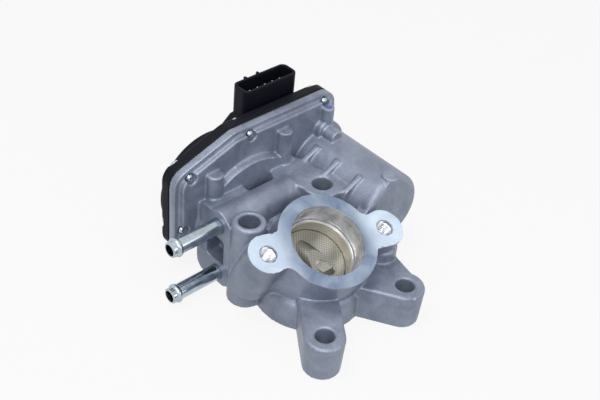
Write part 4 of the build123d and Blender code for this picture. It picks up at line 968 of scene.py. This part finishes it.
class EGR_OT_screws(bpy.types.Operator):
    """Set the cover screws: six-lobe pan heads outside, turned tips through the rim"""
    bl_idname = "egr.screws"
    bl_label = "Cover screws"

    def execute(self, context):
        boxes = loose_boxes("cover_screws")
        low, high = boxes[0]
        master = bpy.data.objects.new("screw_master", self.screw_mesh(high.x / MM - low.x / MM))
        context.scene.collection.objects.link(master)
        spots = bpy.data.meshes.new("screw_spots")
        spots.from_pydata(
            [(low.x, (low.y + high.y) / 2, (low.z + high.z) / 2) for low, high in boxes], [], [])
        mesh = grown(spots, row_tree(), {
            "Piece": master, "Most Turn": 2 * math.pi / LOBES, "Seed": SCREW_SEED,
            "Material": finish_of(zinc_plated_steel)})
        bpy.data.objects.remove(master)
        new_piece("six_lobe_screws", mesh, "housing",
                  [finish_of(zinc_plated_steel)], ["cover_screws"])
        return {"FINISHED"}

    def screw_mesh(self, tip):
        """one screw along X from the crown of its head to its tip, this many millimetres away"""
        profile = list(SCREW_HEAD)
        turn = SCREW_THREAD_START
        while turn < tip - SCREW_THREAD_STOP:
            profile += [(turn, SCREW_ROOT_R), (turn + SCREW_PITCH / 2, SCREW_CREST_R)]
            turn += SCREW_PITCH
        profile += [(tip + along, radius) for along, radius in SCREW_TIP]
        shape = lathe(profile, SCREW_STEPS)
        for vertex in shape.verts:
            radius = math.hypot(vertex.co.y, vertex.co.z)
            if vertex.co.x < LOBE_DEPTH and LOBE_INNER_R < radius < LOBE_OUTER_R:
                lobe = 1 + LOBE_SWELL * math.cos(LOBES * math.atan2(vertex.co.z, vertex.co.y))
                vertex.co.y *= lobe
                vertex.co.z *= lobe
        mesh = bpy.data.meshes.new("screw_master")
        shape.to_mesh(mesh)
        shape.free()
        return mesh


class EGR_OT_paint_dab(bpy.types.Operator):
    """Set the inspector's paint dab on the top of the rear post"""
    bl_idname = "egr.paint_dab"
    bl_label = "Paint dab"

    def execute(self, context):
        shape = bmesh.new()
        rings = []
        for share, lift in DAB_RINGS:
            ring = []
            for i in range(DAB_STEPS):
                turn = 2 * math.pi * i / DAB_STEPS
                ragged = 1 + sum(
                    swell * math.sin(count * turn + start) for swell, count, start in DAB_WAVES)
                ring.append(shape.verts.new(DAB_PLACE + Matrix.Rotation(DAB_TURN, 3, "Z") @ Vector((
                    DAB_HALF_WIDTH * share * ragged * math.cos(turn),
                    DAB_HALF_LENGTH * share * ragged * math.sin(turn), lift))))
            rings.append(ring)
        skin_rings(shape, rings)
        shape.faces.new(rings[0][::-1])
        shape.faces.new(rings[-1])
        mesh = bpy.data.meshes.new("dab")
        shape.to_mesh(mesh)
        shape.free()
        mesh.shade_smooth()
        new_piece("paint_dab", mesh, "housing", [finish_of(marking_paint)])
        return {"FINISHED"}


def is_seen(tree):
    """1 for rays from the camera, off glossy skins and through glass, 0 for the rest"""
    ray = add_node(tree, "ShaderNodeLightPath", {}, {})
    seen = add_node(tree, "ShaderNodeMath", {"operation": "MAXIMUM"}, {
        0: ray.outputs["Is Camera Ray"], 1: ray.outputs["Is Glossy Ray"]})
    through = add_node(tree, "ShaderNodeMath", {"operation": "MAXIMUM"}, {
        0: seen.outputs[0], 1: ray.outputs["Is Transmission Ray"]})
    return through.outputs[0]


class EGR_OT_stage(bpy.types.Operator):
    """Set the floor, the studio light and the camera"""
    bl_idname = "egr.stage"
    bl_label = "Stage"

    def execute(self, context):
        scene = context.scene
        floor_mesh = bpy.data.meshes.new("floor")
        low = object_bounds()[0][2] - FLOOR_GAP
        corners = ((-1, -1), (1, -1), (1, 1), (-1, 1))
        floor_mesh.from_pydata(
            [(x * FLOOR_HALF, y * FLOOR_HALF, low) for x, y in corners], [], [(0, 1, 2, 3)])
        floor = bpy.data.objects.new("floor", floor_mesh)
        scene.collection.objects.link(floor)
        floor.data.materials.append(self.floor_finish())
        floor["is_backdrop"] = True
        self.white_world(scene)
        for name, place, size, power in LAMPS:
            self.lamp(scene, name, place, size, power)
        self.photo_camera(scene)
        scene.view_settings.view_transform = "Standard"
        return {"FINISHED"}

    def floor_finish(self):
        """white paper: the camera and reflections see it plain white, with the object's shadow kept"""
        made, tree, shader, _ = new_material(
            "white_paper", Roughness=0.9, Base_Color=(*[FLOOR_BOUNCE * c for c in chosen().floor_tint], 1))
        glow = add_node(tree, "ShaderNodeEmission", {}, {
            "Color": (*chosen().floor_tint, 1), "Strength": 1.0})
        share = add_node(tree, "ShaderNodeMath", {"operation": "MULTIPLY"}, {
            0: is_seen(tree), 1: FLOOR_GLOW})
        both = add_node(tree, "ShaderNodeMixShader", {}, {
            0: share.outputs[0], 1: shader.outputs["BSDF"], 2: glow.outputs["Emission"]})
        tree.links.new(both.outputs["Shader"], tree.get_output_node("ALL").inputs["Surface"])
        return made

    def white_world(self, scene):
        """soft grey surroundings that look white to the camera and in reflections"""
        world = bpy.data.worlds.new("studio")
        world.use_nodes = True
        tree = world.node_tree
        tree.nodes.clear()
        strength = add_node(tree, "ShaderNodeMapRange", {}, {
            "Value": is_seen(tree), "To Min": WORLD_LIGHT, "To Max": 1.0})
        back = add_node(tree, "ShaderNodeBackground", {}, {
            "Color": paint("#ffffff"), "Strength": strength.outputs["Result"]})
        add_node(tree, "ShaderNodeOutputWorld", {}, {"Surface": back.outputs["Background"]})
        scene.world = world

    def lamp(self, scene, name, place, size, power):
        """square soft lamp that looks at the object"""
        data = bpy.data.lights.new(name, "AREA")
        data.size = size
        data.energy = power
        lamp = bpy.data.objects.new(name, data)
        lamp.location = place
        lamp.rotation_euler = (LAMP_AIM - Vector(place)).to_track_quat("-Z", "Y").to_euler()
        scene.collection.objects.link(lamp)

    def photo_camera(self, scene):
        """camera where the photograph was taken, from the object's straight edges and round holes"""
        ahead = Vector((-math.sin(CAMERA_AZIMUTH) * math.cos(CAMERA_ELEVATION),
                        math.cos(CAMERA_AZIMUTH) * math.cos(CAMERA_ELEVATION), -math.sin(CAMERA_ELEVATION)))
        level = ahead.cross(Vector((0, 0, 1))).normalized()
        side = Matrix.Rotation(CAMERA_ROLL, 3, ahead) @ level
        up = side.cross(ahead)
        data = bpy.data.cameras.new("photo")
        data.sensor_width = CAMERA_SENSOR
        data.lens = CAMERA_LENS
        data.clip_start = CAMERA_CLIP
        camera = bpy.data.objects.new("photo", data)
        turned = Matrix((side, up, -ahead)).transposed().to_4x4()
        camera.matrix_world = Matrix.Translation(CAMERA_PLACE) @ turned
        scene.collection.objects.link(camera)
        scene.camera = camera


class EGR_PT_panel(bpy.types.Panel):
    """Lists the steps of the dressing"""
    bl_idname = "EGR_PT_panel"
    bl_label = "EGR valve"
    bl_space_type = "VIEW_3D"
    bl_region_type = "UI"
    bl_category = "EGR valve"

    def draw(self, context):
        for name in ValveSizes.__annotations__:
            self.layout.prop(context.scene.egr_valve, name)
        for step in STEPS:
            self.layout.operator(step.bl_idname)


STEPS = (EGR_OT_finishes, EGR_OT_casting, EGR_OT_cover, EGR_OT_threads, EGR_OT_screws, EGR_OT_paint_dab,
         EGR_OT_stage)
CLASSES = (ValveSizes, *STEPS, EGR_PT_panel)


def register():
    for cls in CLASSES:
        bpy.utils.register_class(cls)
    bpy.types.Scene.egr_valve = bpy.props.PointerProperty(type=ValveSizes)


def unregister():
    del bpy.types.Scene.egr_valve
    for cls in reversed(CLASSES):
        bpy.utils.unregister_class(cls)


def main():
    register()
    for step in STEPS:
        getattr(bpy.ops.egr, step.bl_idname.split(".")[1])()


if __name__ == "__main__":
    main()
